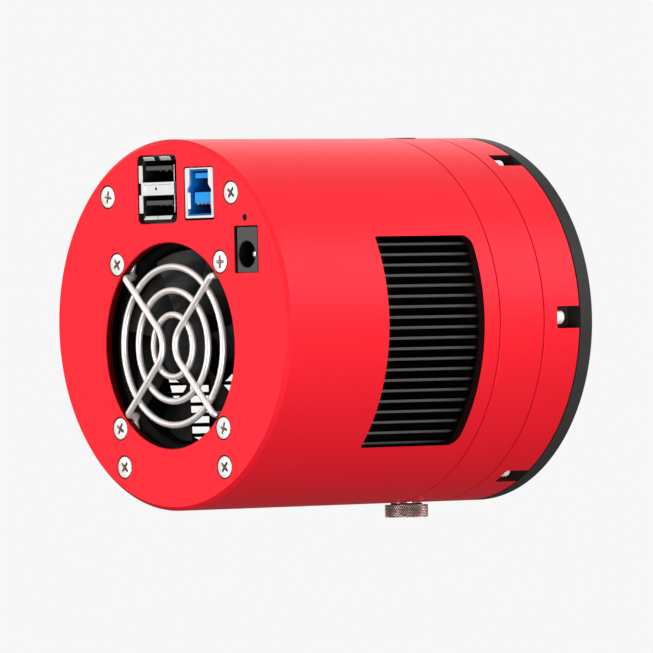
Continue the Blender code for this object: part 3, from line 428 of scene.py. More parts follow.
def surface(name, colour, roughness, metallic, grain=0.25, vary=0.06, rough_vary=0.05, bump=0.15, depth=0.01,
            streaks=None, **settings):
    """A finish with a fine grain: colour, roughness and height all vary over the surface."""
    made = Nodes(name)
    vector = made.stretched(streaks) if streaks else None
    fine = made.noise(grain, 4.0, vector)
    broad = made.noise(9.0, 2.0)
    dark = tuple(channel * (1.0 - vary) for channel in colour)
    light = tuple(min(1.0, channel * (1.0 + vary)) for channel in colour)
    mixed = made.blend(made.spread(fine, 0.25, 0.75), dark, light)
    shade = made.blend(made.spread(broad, 0.0, 0.5), mixed, dark)
    made.link(shade, made.shader.inputs["Base Color"])
    patches = made.noise(grain * 2.5, 3.0, vector)
    rough = made.spread(patches, roughness - rough_vary, roughness + rough_vary)
    made.link(rough, made.shader.inputs["Roughness"])
    made.bump(fine, bump, depth)
    made.set(Metallic=metallic, **settings)


def glass(name, tint, roughness=0.02):
    """Coated optical glass with a faint bloom of dust."""
    made = Nodes(name)
    made.set(Base_Color=(*tint, 1.0), Transmission_Weight=1.0, IOR=1.45)
    dust = made.noise(0.6, 4.0)
    made.link(made.spread(dust, roughness, roughness + 0.02), made.shader.inputs["Roughness"])
    made.bump(made.noise(14.0, 1.0), 0.02, 0.02)


def silicon(name):
    """A sensor's face: a fine pixel grid that splits the light, over dark silicon."""
    made = Nodes(name)
    slow = made.noise(30.0, 1.0)
    tint = made.blend(made.spread(slow, 0.0, 1.0), (0.05, 0.03, 0.09), (0.02, 0.07, 0.08))
    made.link(tint, made.shader.inputs["Base Color"])
    made.link(made.spread(made.noise(0.4), 0.12, 0.2), made.shader.inputs["Roughness"])
    made.bump(made.noise(0.05, 2.0), 0.05, 0.003)
    made.set(Metallic=0.55, Coat_Weight=0.5)


def circuit_board(name, mask):
    """Solder mask over copper tracks."""
    made = Nodes(name)
    dark = (mask[0] * 0.7, mask[1] * 0.75, mask[2] * 0.7, 1.0)
    light = (mask[0] * 1.6, mask[1] * 1.5, mask[2] * 1.5, 1.0)
    tracks = made.add("ShaderNodeTexBrick", Scale=420.0, Mortar_Size=0.03, Color1=(*mask, 1.0), Color2=dark,
                      Mortar=light)
    made.link(made.place, tracks.inputs["Vector"])
    made.link(tracks.outputs["Color"], made.shader.inputs["Base Color"])
    made.link(made.spread(made.noise(1.5), 0.25, 0.4), made.shader.inputs["Roughness"])
    made.bump(tracks.outputs["Fac"], 0.2, 0.03)


RED = (0.82, 0.0115, 0.0245)
surface("red_anodised", RED, 0.42, 0.45, grain=0.22, vary=0.035, bump=0.12, depth=0.006,
        Specular_IOR_Level=0.34, Specular_Tint=(0.95, 0.74, 0.75, 1.0))
# The fan bore's wall: a glossier machined finish, with a much darker red that is painted shade.
surface("red_bore_painted_shade", (0.16, 0.003, 0.006), 0.16, 0.7, grain=0.5, vary=0.1, rough_vary=0.04, bump=0.06,
        streaks=(1.0, 6.0, 1.0))
# Painted shade: a near-black red for hole walls, window walls, screw pockets and the drum's inside, where shade
# falls.
surface("red_painted_shade", (0.022, 0.002, 0.0025), 0.5, 0.3, grain=0.3, vary=0.08)
surface("black_anodised", (0.024, 0.023, 0.0225), 0.5, 0.0, grain=0.25, vary=0.12, Specular_IOR_Level=0.12)
surface("fin_black", (0.008, 0.0075, 0.007), 0.42, 0.2, grain=0.3, vary=0.15, Specular_IOR_Level=0.3)
# Painted highlight: a lighter copy of the fins' black for the outer fin edges, which face out and catch the light.
surface("fin_edge_painted_highlight", (0.060, 0.056, 0.052), 0.4, 0.4, grain=0.3, vary=0.12)
surface("steel", (0.80, 0.78, 0.75), 0.42, 0.6, grain=0.8, vary=0.02, rough_vary=0.01, bump=0.02,
        streaks=(1.0, 0.25, 1.0))
surface("guard_wire", (0.77, 0.725, 0.70), 0.37, 0.65, grain=1.5, vary=0.015, rough_vary=0.01, bump=0.01,
        depth=0.006)
# Painted shade: a darker, browner steel for the inside of the screws' cross recesses.
surface("recess", (0.36, 0.31, 0.25), 0.45, 0.6, grain=0.2, vary=0.15, bump=0.2)
# Stainless steel whose pink-brown tint is a painted reflection of the red drum.
surface("thumb_steel", (0.50, 0.39, 0.36), 0.3, 0.75, grain=0.5, vary=0.08, rough_vary=0.02, bump=0.05)
# Painted shade for the knurl's grooves and the cap's neck.
surface("knurl_painted_shade", (0.035, 0.022, 0.019), 0.6, 0.3, grain=0.3, vary=0.15)
surface("socket_metal", (0.70, 0.70, 0.69), 0.36, 0.6, grain=0.7, vary=0.02, rough_vary=0.015, bump=0.02,
        streaks=(1.0, 0.2, 1.0))
surface("black_plastic", (0.006, 0.006, 0.0065), 0.55, 0.0, grain=0.2, vary=0.15, bump=0.25,
        Specular_IOR_Level=0.2)
# Painted shade: near black for the inside of small holes and bores.
surface("hole_painted_shade", (0.002, 0.002, 0.002), 0.7, 0.0, grain=0.2, vary=0.2, Specular_IOR_Level=0.08)
surface("tongue_plastic", (0.035, 0.034, 0.034), 0.5, 0.0, grain=0.2, vary=0.15, bump=0.25)
surface("fan_plastic", (0.0055, 0.005, 0.005), 0.45, 0.0, grain=0.4, vary=0.12, bump=0.2,
        Specular_IOR_Level=0.13)
surface("jack_plastic", (0.035, 0.034, 0.035), 0.5, 0.0, grain=0.18, vary=0.12, bump=0.3)
surface("blue_plastic", (0.0005, 0.10, 0.36), 0.45, 0.0, grain=0.25, vary=0.1, bump=0.1,
        Specular_IOR_Level=0.15)
surface("blue_tongue", (0.004, 0.27, 0.72), 0.4, 0.0, grain=0.25, vary=0.08, bump=0.1,
        Specular_IOR_Level=0.25)
surface("light_pipe", (0.006, 0.0025, 0.0025), 0.5, 0.0, grain=0.3, vary=0.1, Specular_IOR_Level=0.1)
circuit_board("board", (0.012, 0.10, 0.045))
surface("pin_metal", (0.92, 0.91, 0.89), 0.22, 0.8, grain=0.3, vary=0.04, bump=0.04)
surface("copper", (0.70, 0.30, 0.16), 0.32, 1.0, grain=0.3, vary=0.12, streaks=(1.0, 9.0, 1.0))
surface("brass", (0.72, 0.52, 0.24), 0.28, 1.0, grain=0.35, vary=0.08, streaks=(1.0, 7.0, 1.0))
surface("ceramic", (0.80, 0.79, 0.76), 0.5, 0.0, grain=0.15, vary=0.05, bump=0.2)
surface("cold_aluminium", (0.75, 0.76, 0.77), 0.3, 1.0, grain=0.4, streaks=(1.0, 1.0, 8.0))
silicon("silicon")
glass("glass", (0.93, 0.98, 0.985))
surface("rubber", (0.012, 0.012, 0.012), 0.62, 0.0, grain=0.3, vary=0.2, bump=0.3)
surface("heater_film", (0.60, 0.32, 0.07), 0.36, 0.1, grain=0.8, vary=0.12, streaks=(1, 1, 6))
surface("desiccant", (0.82, 0.80, 0.75), 0.85, 0.0, grain=0.12, vary=0.1, bump=0.6, depth=0.03)


def dress_frame():
    """Every CAD node that stays in view gets its slot's material."""
    for name, obj in frame["nodes"].items():
        obj.data.materials.clear()
        obj.data.materials.append(LOOKS[SLOT_OF[name]])
        obj.data.shade_smooth()


# ---- drum


def hole_cutter(bm, radius, depth, centre, flare, segments):
    """A round cutter through the rear wall with a broken edge."""
    wide = radius + flare
    profile = [(0.0, -PAST), (wide, -PAST), (wide, 0.0), (radius, flare), (radius, depth), (0.0, depth)]
    turned(bm, profile, centre, segments)


def rear_housing():
    """The red drum with its holes, its socket mouths and its two flank windows."""
    inner = RADIUS - SHELL_WALL
    through = REAR_WALL + PAST
    profile = [(0.0, 0.0), (RADIUS - RIM, 0.0, 0.05), (RADIUS, RIM, 0.05), (RADIUS, SHELL_FRONT, EDGE)]
    profile += [(inner, SHELL_FRONT), (inner, REAR_WALL, 1.0), (0.0, REAR_WALL)]
    shell = lathe("housing_rear", profile, 5)

    cutter = bmesh.new()
    hole_cutter(cutter, FAN_OPENING, through, FAN, 0.25, 192)
    wide = HEAD + 0.28
    tight = SHANK + 0.3
    broken = 0.12
    countersink = [(0.0, -PAST), (wide + broken, -PAST), (wide + broken, 0.0), (wide, broken)]
    countersink += [(tight, 1.4), (tight, through), (0.0, through)]
    for node in numbered("rear_cover_screw", 4) + numbered("fan_screw", 4):
        turned(cutter, countersink, middle_of(node), 48)
    for node, (left, right, bottom, top, corner) in SOCKET_FITS.items():
        low, high = bench(node)
        mouth(cutter, (low.x - left, high.x + right), (low.z - bottom, high.z + top), corner, through)
    hole_cutter(cutter, LIGHT_HOLE, through, middle_of("status_light_pipe"), 0.05, 32)
    carve(shell, cutter)

    cutter = bmesh.new()
    rear, front = WINDOW_CORNERS
    outline = [(WINDOW_REAR, WINDOW_LOW, rear), (WINDOW_FRONT, WINDOW_LOW, front)]
    outline += [(WINDOW_FRONT, WINDOW_HIGH, front), (WINDOW_REAR, WINDOW_HIGH, rear)]
    outline = softened(outline, steps=8)
    side = RADIUS + PAST
    loft(cutter, [[(x, y, z) for y, z in outline] for x in (-side, side)])
    carve(shell, cutter)
    finish(shell, "red_anodised", "rear_shell", bevel=0.12)

    # Picks the fan bore's wall, which gets a glossier finish and a darker red that is painted shade.
    def painted_bore_shade(centre, normal):
        return abs(off_axis(centre, FAN) - FAN_OPENING) < 0.2 and abs(normal.y) < 0.5

    # Picks the faces that get painted shade: the walls of the holes through the rear wall, the window walls and
    # the drum's inside.
    def inside(centre, normal):
        reach = off_axis(centre)
        if abs(normal.y) < 0.8 and 0.1 < centre.y < REAR_WALL and reach < inner:
            return True
        along = WINDOW_REAR - 0.1 < centre.y < WINDOW_FRONT + 0.1
        window = along and WINDOW_LOW - 0.1 < centre.z < WINDOW_HIGH + 0.1
        return reach < (RADIUS - 0.05 if window else inner + 0.05) and centre.y > REAR_WALL - 0.1

    paint_zone(shell, "red_painted_shade", inside)
    paint_zone(shell, "red_bore_painted_shade", painted_bore_shade)


def port(sign):
    """Turns a shape drawn along +Y from the drum's axis to run up (1) or down (-1) at the ports."""
    return Matrix.Translation((0.0, PORT_Y, 0.0)) @ Matrix.Rotation(sign * math.pi / 2, 4, "X")


def middle_housing():
    """The ring round the sensor chamber, with a port below and one above."""
    bore, seat, floor, step = 22.0, 36.0, 69.4, 79.2
    rim = 39.8
    profile = [(bore, RING_REAR), (RADIUS, RING_REAR, EDGE), (RADIUS, RING_FRONT, EDGE), (rim, RING_FRONT)]
    profile += [(rim, step), (seat, step), (seat, floor), (bore, floor)]
    ring = lathe("housing_middle", profile, 2)
    cutter = bmesh.new()
    recess = RADIUS - 1.6
    wide = 4.4
    outside = 47.0
    for sign, hole, depth in ((-1, 3.7, 34.0), (1, 3.3, 38.0)):
        profile = [(0.0, depth), (hole, depth), (hole, recess), (wide, recess)]
        turned(cutter, profile + [(wide, outside), (0.0, outside)], segments=64, place=port(sign))
    carve(ring, cutter)
    finish(ring, "red_anodised", "middle_ring", bevel=0.12)


def front_housing():
    """The ring behind the front plate, with six pockets for its screws."""
    bore = 30.0
    profile = [(bore, CROWN_REAR), (RADIUS, CROWN_REAR, EDGE), (RADIUS, CROWN_FRONT, EDGE)]
    ring = lathe("housing_front", profile + [(bore, CROWN_FRONT)], 2)
    floor, half, corner = 84.8, 2.7, 0.5
    top = CROWN_FRONT + PAST
    outline = softened([(floor, -half, corner), (top, -half), (top, half), (floor, half, corner)], steps=3)
    cutter = bmesh.new()
    for node in numbered("front_ring_screw", 6):
        x, z = middle_of(node)
        turn = Matrix.Rotation(-math.atan2(z, x), 4, "Y")
        reaches = (40.5, RADIUS + 2.0)
        loft(cutter, [[turn @ Vector((reach, y, across)) for y, across in outline] for reach in reaches])
    carve(ring, cutter)
    finish(ring, "red_anodised", "front_ring", bevel=0.12)

    # The screw pockets' walls and floors get painted shade.
    def pocket(centre, normal):
        return bore + 0.5 < off_axis(centre) < RADIUS - 0.3 and floor - 0.3 < centre.y < CROWN_FRONT - 0.05

    paint_zone(ring, "red_painted_shade", pocket)


def tilting_plate():
    """The front plate with its telescope thread: V ridges down the aperture's wall."""
    bore = 27.0
    pitch = 0.75
    ridge = 0.42
    thread = []
    y = PLATE_FRONT - 0.55
    while y - pitch > PLATE_REAR + 0.2:
        thread += [(bore, y), (bore + ridge, y - pitch / 2)]
        y -= pitch
    profile = [(bore + 0.35, PLATE_REAR), (RADIUS, PLATE_REAR, 0.05), (RADIUS, PLATE_FRONT, 0.4)]
    profile = softened(profile + [(bore + 0.5, PLATE_FRONT)], steps=3)
    plate = solid("plate_front", drawn(turned, profile + thread))
    cutter = bmesh.new()
    head, shank, floor = 2.75, 1.65, 93.5
    behind, ahead = PLATE_REAR - PAST, 98.0
    counterbore = [(0.0, behind), (shank, behind), (shank, floor), (head, floor), (head, ahead), (0.0, ahead)]
    for pull, push in zip(PULL_SCREWS, PUSH_SCREWS):
        turned(cutter, counterbore, middle_of(pull), 48)
        rod(cutter, shank, behind, ahead, middle_of(push))
    carve(plate, cutter)
    finish(plate, "black_anodised", "tilt_plate", body="tilt_plate", bevel=0.1)


# ---- fasteners


def cross_outline(arm, half):
    """A cross whose inner corners are filled out a little."""
    quarter = [(arm, -half), (arm, half), (half * 1.25, half * 1.25)]
    points = []
    for turn in range(4):
        for x, z in quarter:
            for _ in range(turn):
                x, z = -z, x
            points.append((x, z))
    return points


def cross_screws():
    """Countersunk screws with cross recesses, each turned as it was left when tightened."""
    for name, turns in (("rear_cover_screw", COVER_TURNS), ("fan_screw", FAN_TURNS)):
        for node, turn in zip(numbered(name, 4), turns):
            face, tip = ends(node)
            axis = middle_of(node)
            place = Matrix.Translation((axis[0], 0.0, axis[1])) @ Matrix.Rotation(math.radians(turn), 4, "Y")
            profile = [(0.0, face), (HEAD, face, 0.12), (HEAD, face + 0.22)]
            profile += [(SHANK, 1.35), (SHANK, tip), (0.0, tip)]
            screw = lathe(f"{node}_cross", profile, 3, segments=64, place=place)
            cutter = bmesh.new()
            loops = []
            for depth, arm, half in RECESS:
                loops.append([place @ Vector((a, face + depth, b)) for a, b in cross_outline(arm, half)])
            loft(cutter, loops)
            carve(screw, cutter)
            finish(screw, "steel", node, bevel=0.03)
            # The cross recess gets painted shade.
            paint_zone(screw, "recess", lambda centre, normal: face + 0.03 < centre.y < face + 1.05
                       and off_axis(centre, axis) < 1.5)


def hexagon(radius, turn=0.0):
    return [circle_point(radius, turn + 60.0 * step) for step in range(6)]


def socket_screw(node, body, radius, shank, head=None):
    """A screw with a hexagon socket and a finely grooved head. A grub screw is all head."""
    x, z = middle_of(node)
    low, high = bench(node)
    face = high.y
    floor = face - head if head else low.y
    place = Matrix.Translation((x, 0.0, z))
    bm = bmesh.new()
    grooves, groove, edge = 36, 0.07, 0.2
    rings = []
    levels = ((radius, floor, groove), (radius, face - edge, groove), (radius - edge, face, 0.0))
    for reach, y, depth in levels:
        ring = []
        for step in range(grooves * 2):
            around = circle_point(reach - (depth if step % 2 else 0.0), 180.0 * step / grooves)
            ring.append(Vector((around[0], y, around[1])))
        rings.append(ring)
    loft(bm, rings)
    bmesh.ops.transform(bm, matrix=place, verts=bm.verts)
    screw = solid(f"{node}_cap", bm)
    if low.y < floor:
        carve(screw, drawn(rod, shank, low.y, floor + 0.3, (x, z), 32), "UNION")
    carve(screw, drawn(prism, hexagon(radius * 0.55), (face - SOCKET_DEPTH, face + PAST), place))
    finish(screw, "steel", node, body=body, bevel=0.04)


def cap_screws():
    for node in numbered("front_ring_screw", 6):
        socket_screw(node, "camera_body", 1.7, 1.1, 2.4)
    for pull, push in zip(PULL_SCREWS, PUSH_SCREWS):
        socket_screw(pull, pull, 2.4, 1.25, 2.2)
        socket_screw(push, push, 1.5, 1.5)


def standoffs():
    """Hexagonal posts with a stud at the front and a hole for the cover screw."""
    shoulder = 62.9
    for node in numbered("standoff", 4):
        x, z = middle_of(node)
        low, high = bench(node)
        turn = math.degrees(math.atan2(z, x)) + 30.0
        outline = [(x + a, z + b) for a, b in hexagon(2.7, turn)]
        post = solid(f"{node}_post", drawn(prism, outline, (low.y, shoulder)))
        carve(post, drawn(rod, 1.5, shoulder - 0.9, high.y, (x, z), 32), "UNION")
        carve(post, drawn(rod, SHANK + 0.25, low.y - PAST, 10.0, (x, z), 32))
        finish(post, "brass", node, bevel=0.15)


# ---- fan


def hoop(radius, centre, depth, count):
    points = [circle_point(radius, 360.0 * step / count, centre) for step in range(count)]
    return [(x, depth, z) for x, z in points]


def wire(name, points, closed=False):
    """One piece of the guard, bent along points."""
    finish(solid(name, drawn(tube, points, WIRE, closed=closed)), "guard_wire", "fan_guard")


def guard():
    """Bent wire guard: three rings, two crossing wires on their outside, and four screw eyelets."""
    for index, radius in enumerate(RING_RADII, 1):
        wire(f"guard_ring_{index}", hoop(radius, FAN, RING_DEPTH, 144), True)
    for index, side in enumerate((1, -1), 1):
        wire(f"guard_wire_{index}", crossing_wire(side))
    for index, screw in enumerate(numbered("fan_screw", 4), 1):
        wire(f"guard_eyelet_{index}", hoop(SHANK + 1.15, middle_of(screw), FOOT_DEPTH, 36), True)


def crossing_wire(side):
    """Straight legs at 45 degrees that dive under the rear wall, joined by an arc past the fan's centre."""
    foot, bend = 25.7, 23.7
    legs = [(foot, FOOT_DEPTH), (bend, FOOT_DEPTH, 0.85), (bend, CROSS_DEPTH, 0.95), (20.0, CROSS_DEPTH)]
    legs = softened(legs, steps=7)
    diagonal = math.sqrt(0.5)
    upper = [(reach * diagonal, depth, reach * diagonal) for reach, depth in legs]
    centre = CROSS_ARC * math.sqrt(2.0)
    arc = []
    steps = 28
    for step in range(steps + 1):
        angle = math.radians(135.0 + 90.0 * step / steps)
        arc.append((centre + CROSS_ARC * math.cos(angle), CROSS_DEPTH, CROSS_ARC * math.sin(angle)))
    lower = [(u, depth, -w) for u, depth, w in reversed(upper)]
    return [(FAN[0] + side * u, depth, FAN[1] + w) for u, depth, w in upper + arc + lower]


def blade(bm, start):
    """One curved blade with a rounded, thinning section: clockwise with depth as seen from behind."""
    spans = 9
    chords = 14
    bow = 0.12
    faces = []
    for side in (-0.5, 0.5):
        grid = []
        for i in range(spans + 1):
            share = i / spans
            radius = HUB_RADIUS - 0.5 + share * (TIP_RADIUS - HUB_RADIUS + 0.5)
            wrap = WRAP_ROOT + share * (WRAP_TIP - WRAP_ROOT)
            row = []
            for j in range(chords + 1):
                chord = j / chords
                angle = start - wrap * (chord + bow * math.sin(math.pi * chord))
                x, z = circle_point(radius, angle, FAN)
                thickness = 0.25 + 0.75 * math.sin(math.pi * chord) ** 0.6
                y = HUB_REAR + 0.6 + chord * (HUB_FRONT - HUB_REAR - 1.2) + side * thickness
                row.append(bm.verts.new((x, y, z)))
            grid.append(row)
        faces.append(grid)
    near, far = faces
    for i in range(spans):
        for j in range(chords):
            bm.faces.new((near[i][j], near[i + 1][j], near[i + 1][j + 1], near[i][j + 1]))
            bm.faces.new((far[i][j], far[i][j + 1], far[i + 1][j + 1], far[i + 1][j]))
        bm.faces.new((near[i][0], far[i][0], far[i + 1][0], near[i + 1][0]))
        bm.faces.new((near[i + 1][chords], far[i + 1][chords], far[i][chords], near[i][chords]))
    for j in range(chords):
        bm.faces.new((near[0][j + 1], far[0][j + 1], far[0][j], near[0][j]))
        bm.faces.new((near[spans][j], far[spans][j], far[spans][j + 1], near[spans][j + 1]))


def fan_rotor():
    inner = HUB_RADIUS - 1.0
    shaft = 1.0
    web = HUB_REAR + 1.2
    end = FAN_FRONT - 0.4
    profile = [(0.0, HUB_REAR), (HUB_RADIUS, HUB_REAR, 0.9), (HUB_RADIUS, HUB_FRONT), (inner, HUB_FRONT)]
    profile += [(inner, web), (shaft, web), (shaft, end), (0.0, end)]
    rotor = lathe("rotor", profile, 5, centre=FAN, segments=96)
    blades = bmesh.new()
    for index in range(BLADES):
        blade(blades, BLADE_START + 360.0 * index / BLADES)
    carve(rotor, blades, "UNION")
    finish(rotor, "fan_plastic", "fan_rotor", body="fan_rotor")


def fan_case():
    """The square frame: its duct, its thinned corners, and the hub plate on three struts."""
    half = 25.0
    across, upward = ((middle - half, middle + half) for middle in FAN)
    case = solid("fan_case", drawn(block, across, (FAN_REAR, FAN_FRONT), upward, 4.0, 8))
    cutter = bmesh.new()
    flared = DUCT_RADIUS + 0.8
    behind, ahead = FAN_REAR - PAST, FAN_FRONT + PAST
    duct = [(0.0, behind), (flared, behind), (flared, FAN_REAR), (DUCT_RADIUS, FAN_REAR + 1.2)]
    turned(cutter, duct + [(DUCT_RADIUS, ahead), (0.0, ahead)], FAN, 192)
    for node in numbered("fan_screw", 4):
        rod(cutter, SHANK + 0.4, behind, ahead, middle_of(node), 32)
    carve(case, cutter)
    cutter = bmesh.new()
    first, last, flange = 21.0, 69.0, 2.4
    for quarter in (0.0, 90.0, 180.0, 270.0):
        corner = [circle_point(25.4, quarter + first + 4.0 * step, FAN) for step in range(13)]
        corner += [circle_point(45.0, quarter + turn, FAN) for turn in (last, first)]
        prism(cutter, corner, (FAN_REAR + flange, FAN_FRONT - flange))
    carve(case, cutter)
    plate = FAN_FRONT - 1.3
    front = FAN_FRONT - 0.02
    rear = HUB_REAR + 3.0
    hole, collar = 2.5, 3.6
    profile = [(hole, rear), (collar, rear), (collar, plate), (HUB_RADIUS, plate)]
    profile += [(HUB_RADIUS, front), (hole, front)]
    carve(case, drawn(turned, profile, FAN, 64), "UNION")
    bm = bmesh.new()
    strut = rectangle((HUB_RADIUS - 1.0, DUCT_RADIUS + 0.6), (-1.2, 1.2))
    for turn in (30.0, 150.0, 270.0):
        place = Matrix.Translation((FAN[0], 0.0, FAN[1])) @ Matrix.Rotation(-math.radians(turn), 4, "Y")
        prism(bm, strut, (plate + 0.05, FAN_FRONT - 0.1), place)
    carve(case, bm, "UNION")
    finish(case, "fan_plastic", "fan_frame", bevel=0.15)


def heat_sink():
    """A round base with level fins whose edges follow the drum."""
    low, high = bench("heat_sink")
    base_rear = high.y - 3.0
    profile = [(0.0, base_rear), (high.x, base_rear, 0.25), (high.x, high.y, 0.25), (0.0, high.y)]
    base = lathe("sink_base", profile, 2)
    cutter = bmesh.new()
    for node in numbered("standoff", 4):
        rod(cutter, 1.75, base_rear - PAST, high.y + PAST, middle_of(node), 32)
    carve(base, cutter)
    finish(base, "fin_black", "heat_sink")

    count, top, bottom, thick = 20, 18.8, -30.0, 0.7
    edge = 41.0
    pitch = (top - bottom - thick) / (count - 1)
    bm = bmesh.new()
    for index in range(count):
        z = bottom + pitch * index
        reach = math.sqrt(edge**2 - max(abs(z), abs(z + thick)) ** 2)
        block(bm, (-reach, reach), (low.y, base_rear + 0.02), (z, z + thick), 0.12, 2)
    fins = finish(solid("sink_fins", bm), "fin_black", "heat_sink", bevel=0.08)
    # The fins' outer edges get a painted highlight.
    paint_zone(fins, "fin_edge_painted_highlight", lambda centre, normal: off_axis(centre) > edge - 0.4)


# ---- sockets


def funnel_tab(bm, start, end, lean):
    """A spring tab along one edge: a thin sheet that leans inwards as it goes deeper."""
    lean = Vector(lean)
    thick = lean.normalized() * 0.2
    slope = Vector((0.0, TAB_DEPTH, 0.0)) + lean
    edge = (Vector(start), Vector(end))
    loft(bm, [[point, point + thick, point + thick + slope, point + slope] for point in edge])


def contact_row(bm, start, pitch, y, z):
    """Four contacts along a tongue."""
    half = 0.4
    for index in range(4):
        x = start + pitch * index
        block(bm, (x - half, x + half), y, z, 0.05, 2)


def usb_a():
    """Two stacked sockets: silver spring tabs round black mouths, with a plate across the middle."""
    low, high = bench("usb_a_shell")
    face = low.y
    back = high.y
    mouths = ((1.8, 6.7), (10.0, 15.2))
    tongues = ((4.4, 5.5), (12.85, 13.9))
    bars = (1.0, 13.3)

    def span(bm, u, w, y, corner=0.0, steps=3):
        """A block in the socket's own across and up, from its lower left corner."""
        block(bm, (low.x + u[0], low.x + u[1]), y, (low.z + w[0], low.z + w[1]), corner, steps)

    def opening(bm, w, margin, y, corner):
        span(bm, (bars[0] - margin, bars[1] + margin), (w[0] - margin, w[1] + margin), y, corner)

    width = high.x - low.x
    case = solid("usb_a_case", drawn(span, (0.0, width), (0.0, high.z - low.z), (3.0, back), 0.7, 5))
    cutter = bmesh.new()
    for w in mouths:
        opening(cutter, w, 0.4, (face - PAST, back - 4.0), 0.3)
    carve(case, cutter)
    finish(case, "socket_metal", "usb_a_shell", bevel=0.06)

    collar = solid("usb_a_collar", drawn(span, (-0.1, width + 0.05), (0.15, 16.3), (1.3, 2.95), 1.2, 6))
    for w in mouths:
        carve(collar, drawn(opening, w, 0.35, (2.0, back - 4.1), 0.3), "UNION")
    cutter = bmesh.new()
    for w in mouths:
        opening(cutter, w, 0.0, (face - PAST, back - 4.6), 0.25)
    carve(collar, cutter)
    finish(collar, "black_plastic", "usb_a_insert", bevel=0.08)

    bm = bmesh.new()
    for w in tongues:
        span(bm, (2.0, 12.2), w, (face + 0.7, back - 4.5), 0.12, 2)
    finish(solid("usb_a_tongues", bm), "tongue_plastic", "usb_a_insert", bevel=0.05)

    bm = bmesh.new()
    for w in tongues:
        under = low.z + w[0]
        contact_row(bm, low.x + 3.6, 2.35, (face + 4.0, back - 5.0), (under - 0.2, under - 0.03))
    finish(solid("usb_a_contacts", bm), "brass", slot="brass")

    plate = solid("usb_a_plate", drawn(span, (0.75, 13.4), (6.75, 9.95), (face + 0.05, 1.25), 0.2, 3))
    carve(plate, drawn(span, (1.9, 12.4), (7.35, 9.3), (face - PAST, face + 0.35), 0.25, 3))
    dot = (low.x + 6.2, low.z + 8.35)
    carve(plate, drawn(rod, 0.34, face - PAST, face + PAST, dot, 24))
    finish(plate, "socket_metal", "usb_a_shell", bevel=0.08)
    # The dot's hole gets painted shade.
    paint_zone(plate, "hole_painted_shade",
               lambda centre, normal: centre.y > face + 0.4 and off_axis(centre, dot) < 0.4)

    bm = bmesh.new()
    inward = 0.75
    for w in ((2.5, 6.9), (9.8, 14.1)):
        for u, lean in ((0.0, inward), (13.95, -inward)):
            x = low.x + u
            funnel_tab(bm, (x, face, low.z + w[0]), (x, face, low.z + w[1]), (lean, 0.0, 0.0))
    top = (16.15, -inward, ((1.8, 5.8), (8.1, 12.2)))
    bottom = (0.85, inward, ((1.8, 6.85), (7.05, 12.3)))
    for w, lean, spans in (top, bottom):
        z = low.z + w
        for u in spans:
            funnel_tab(bm, (low.x + u[0], face, z), (low.x + u[1], face, z), (0.0, 0.0, lean))
    finish(solid("usb_a_tabs", bm), "socket_metal", "usb_a_shell", bevel=0.05)


def usb_b():
    """A silver face with a keyed mouth, a blue lining and two blue tongues."""
    low, high = bench("usb_b_shell")
    face = low.y
    back = high.y

    def keyed(inset):
        """The mouth's outline: narrow above a sloping shoulder, wide below it."""
        left, right, bottom, top = 0.65 + inset, 9.9 - inset, 0.9 + inset, 12.1 - inset
        key_left, key_right = 1.5 + inset, 8.8 - inset
        shoulder, slope_end = 7.2, 8.4
        outline = [(left, bottom), (right, bottom), (right, shoulder), (key_right, slope_end)]
        outline += [(key_right, top), (key_left, top), (key_left, slope_end), (left, shoulder)]
        return softened([(low.x + u, low.z + w, 0.25) for u, w in outline], steps=3)

    across = (low.x - 0.1, low.x + 10.7)
    shell = solid("usb_b_case", drawn(block, across, (face, back), (low.z + 0.3, low.z + 12.45), 0.45, 5))
    carve(shell, drawn(prism, keyed(0.0), (face - PAST, back - 0.45)))
    finish(shell, "socket_metal", "usb_b_shell", bevel=0.1)

    lining = solid("usb_b_lining", drawn(prism, keyed(0.06), (face + 0.35, back - 0.6)))
    carve(lining, drawn(prism, keyed(0.45), (face - PAST, back - 5.0)))
    finish(lining, "blue_plastic", "usb_b_insert", bevel=0.08)

    bm = bmesh.new()
    for u, w in (((2.1, 8.3), (3.9, 6.55)), ((2.4, 7.8), (9.9, 11.2))):
        across = (low.x + u[0], low.x + u[1])
        block(bm, across, (face + 1.2, back - 4.9), (low.z + w[0], low.z + w[1]), 0.2, 3)
    finish(solid("usb_b_tongues", bm), "blue_tongue", "usb_b_insert", bevel=0.08)

    row = drawn(contact_row, low.x + 2.9, 1.5, (face + 1.6, back - 5.2), (low.z + 3.62, low.z + 3.87))
    finish(solid("usb_b_contacts", row), "brass", slot="brass")

    bm = bmesh.new()
    for u, lean in ((0.68, 0.32), (9.77, -0.5)):
        start = (low.x + u, face + 0.1, low.z + 2.55)
        end = (low.x + u, face + 0.1, low.z + 6.5)
        funnel_tab(bm, start, end, (lean, 0.0, 0.0))
    finish(solid("usb_b_tabs", bm), "socket_metal", "usb_b_shell", bevel=0.04)


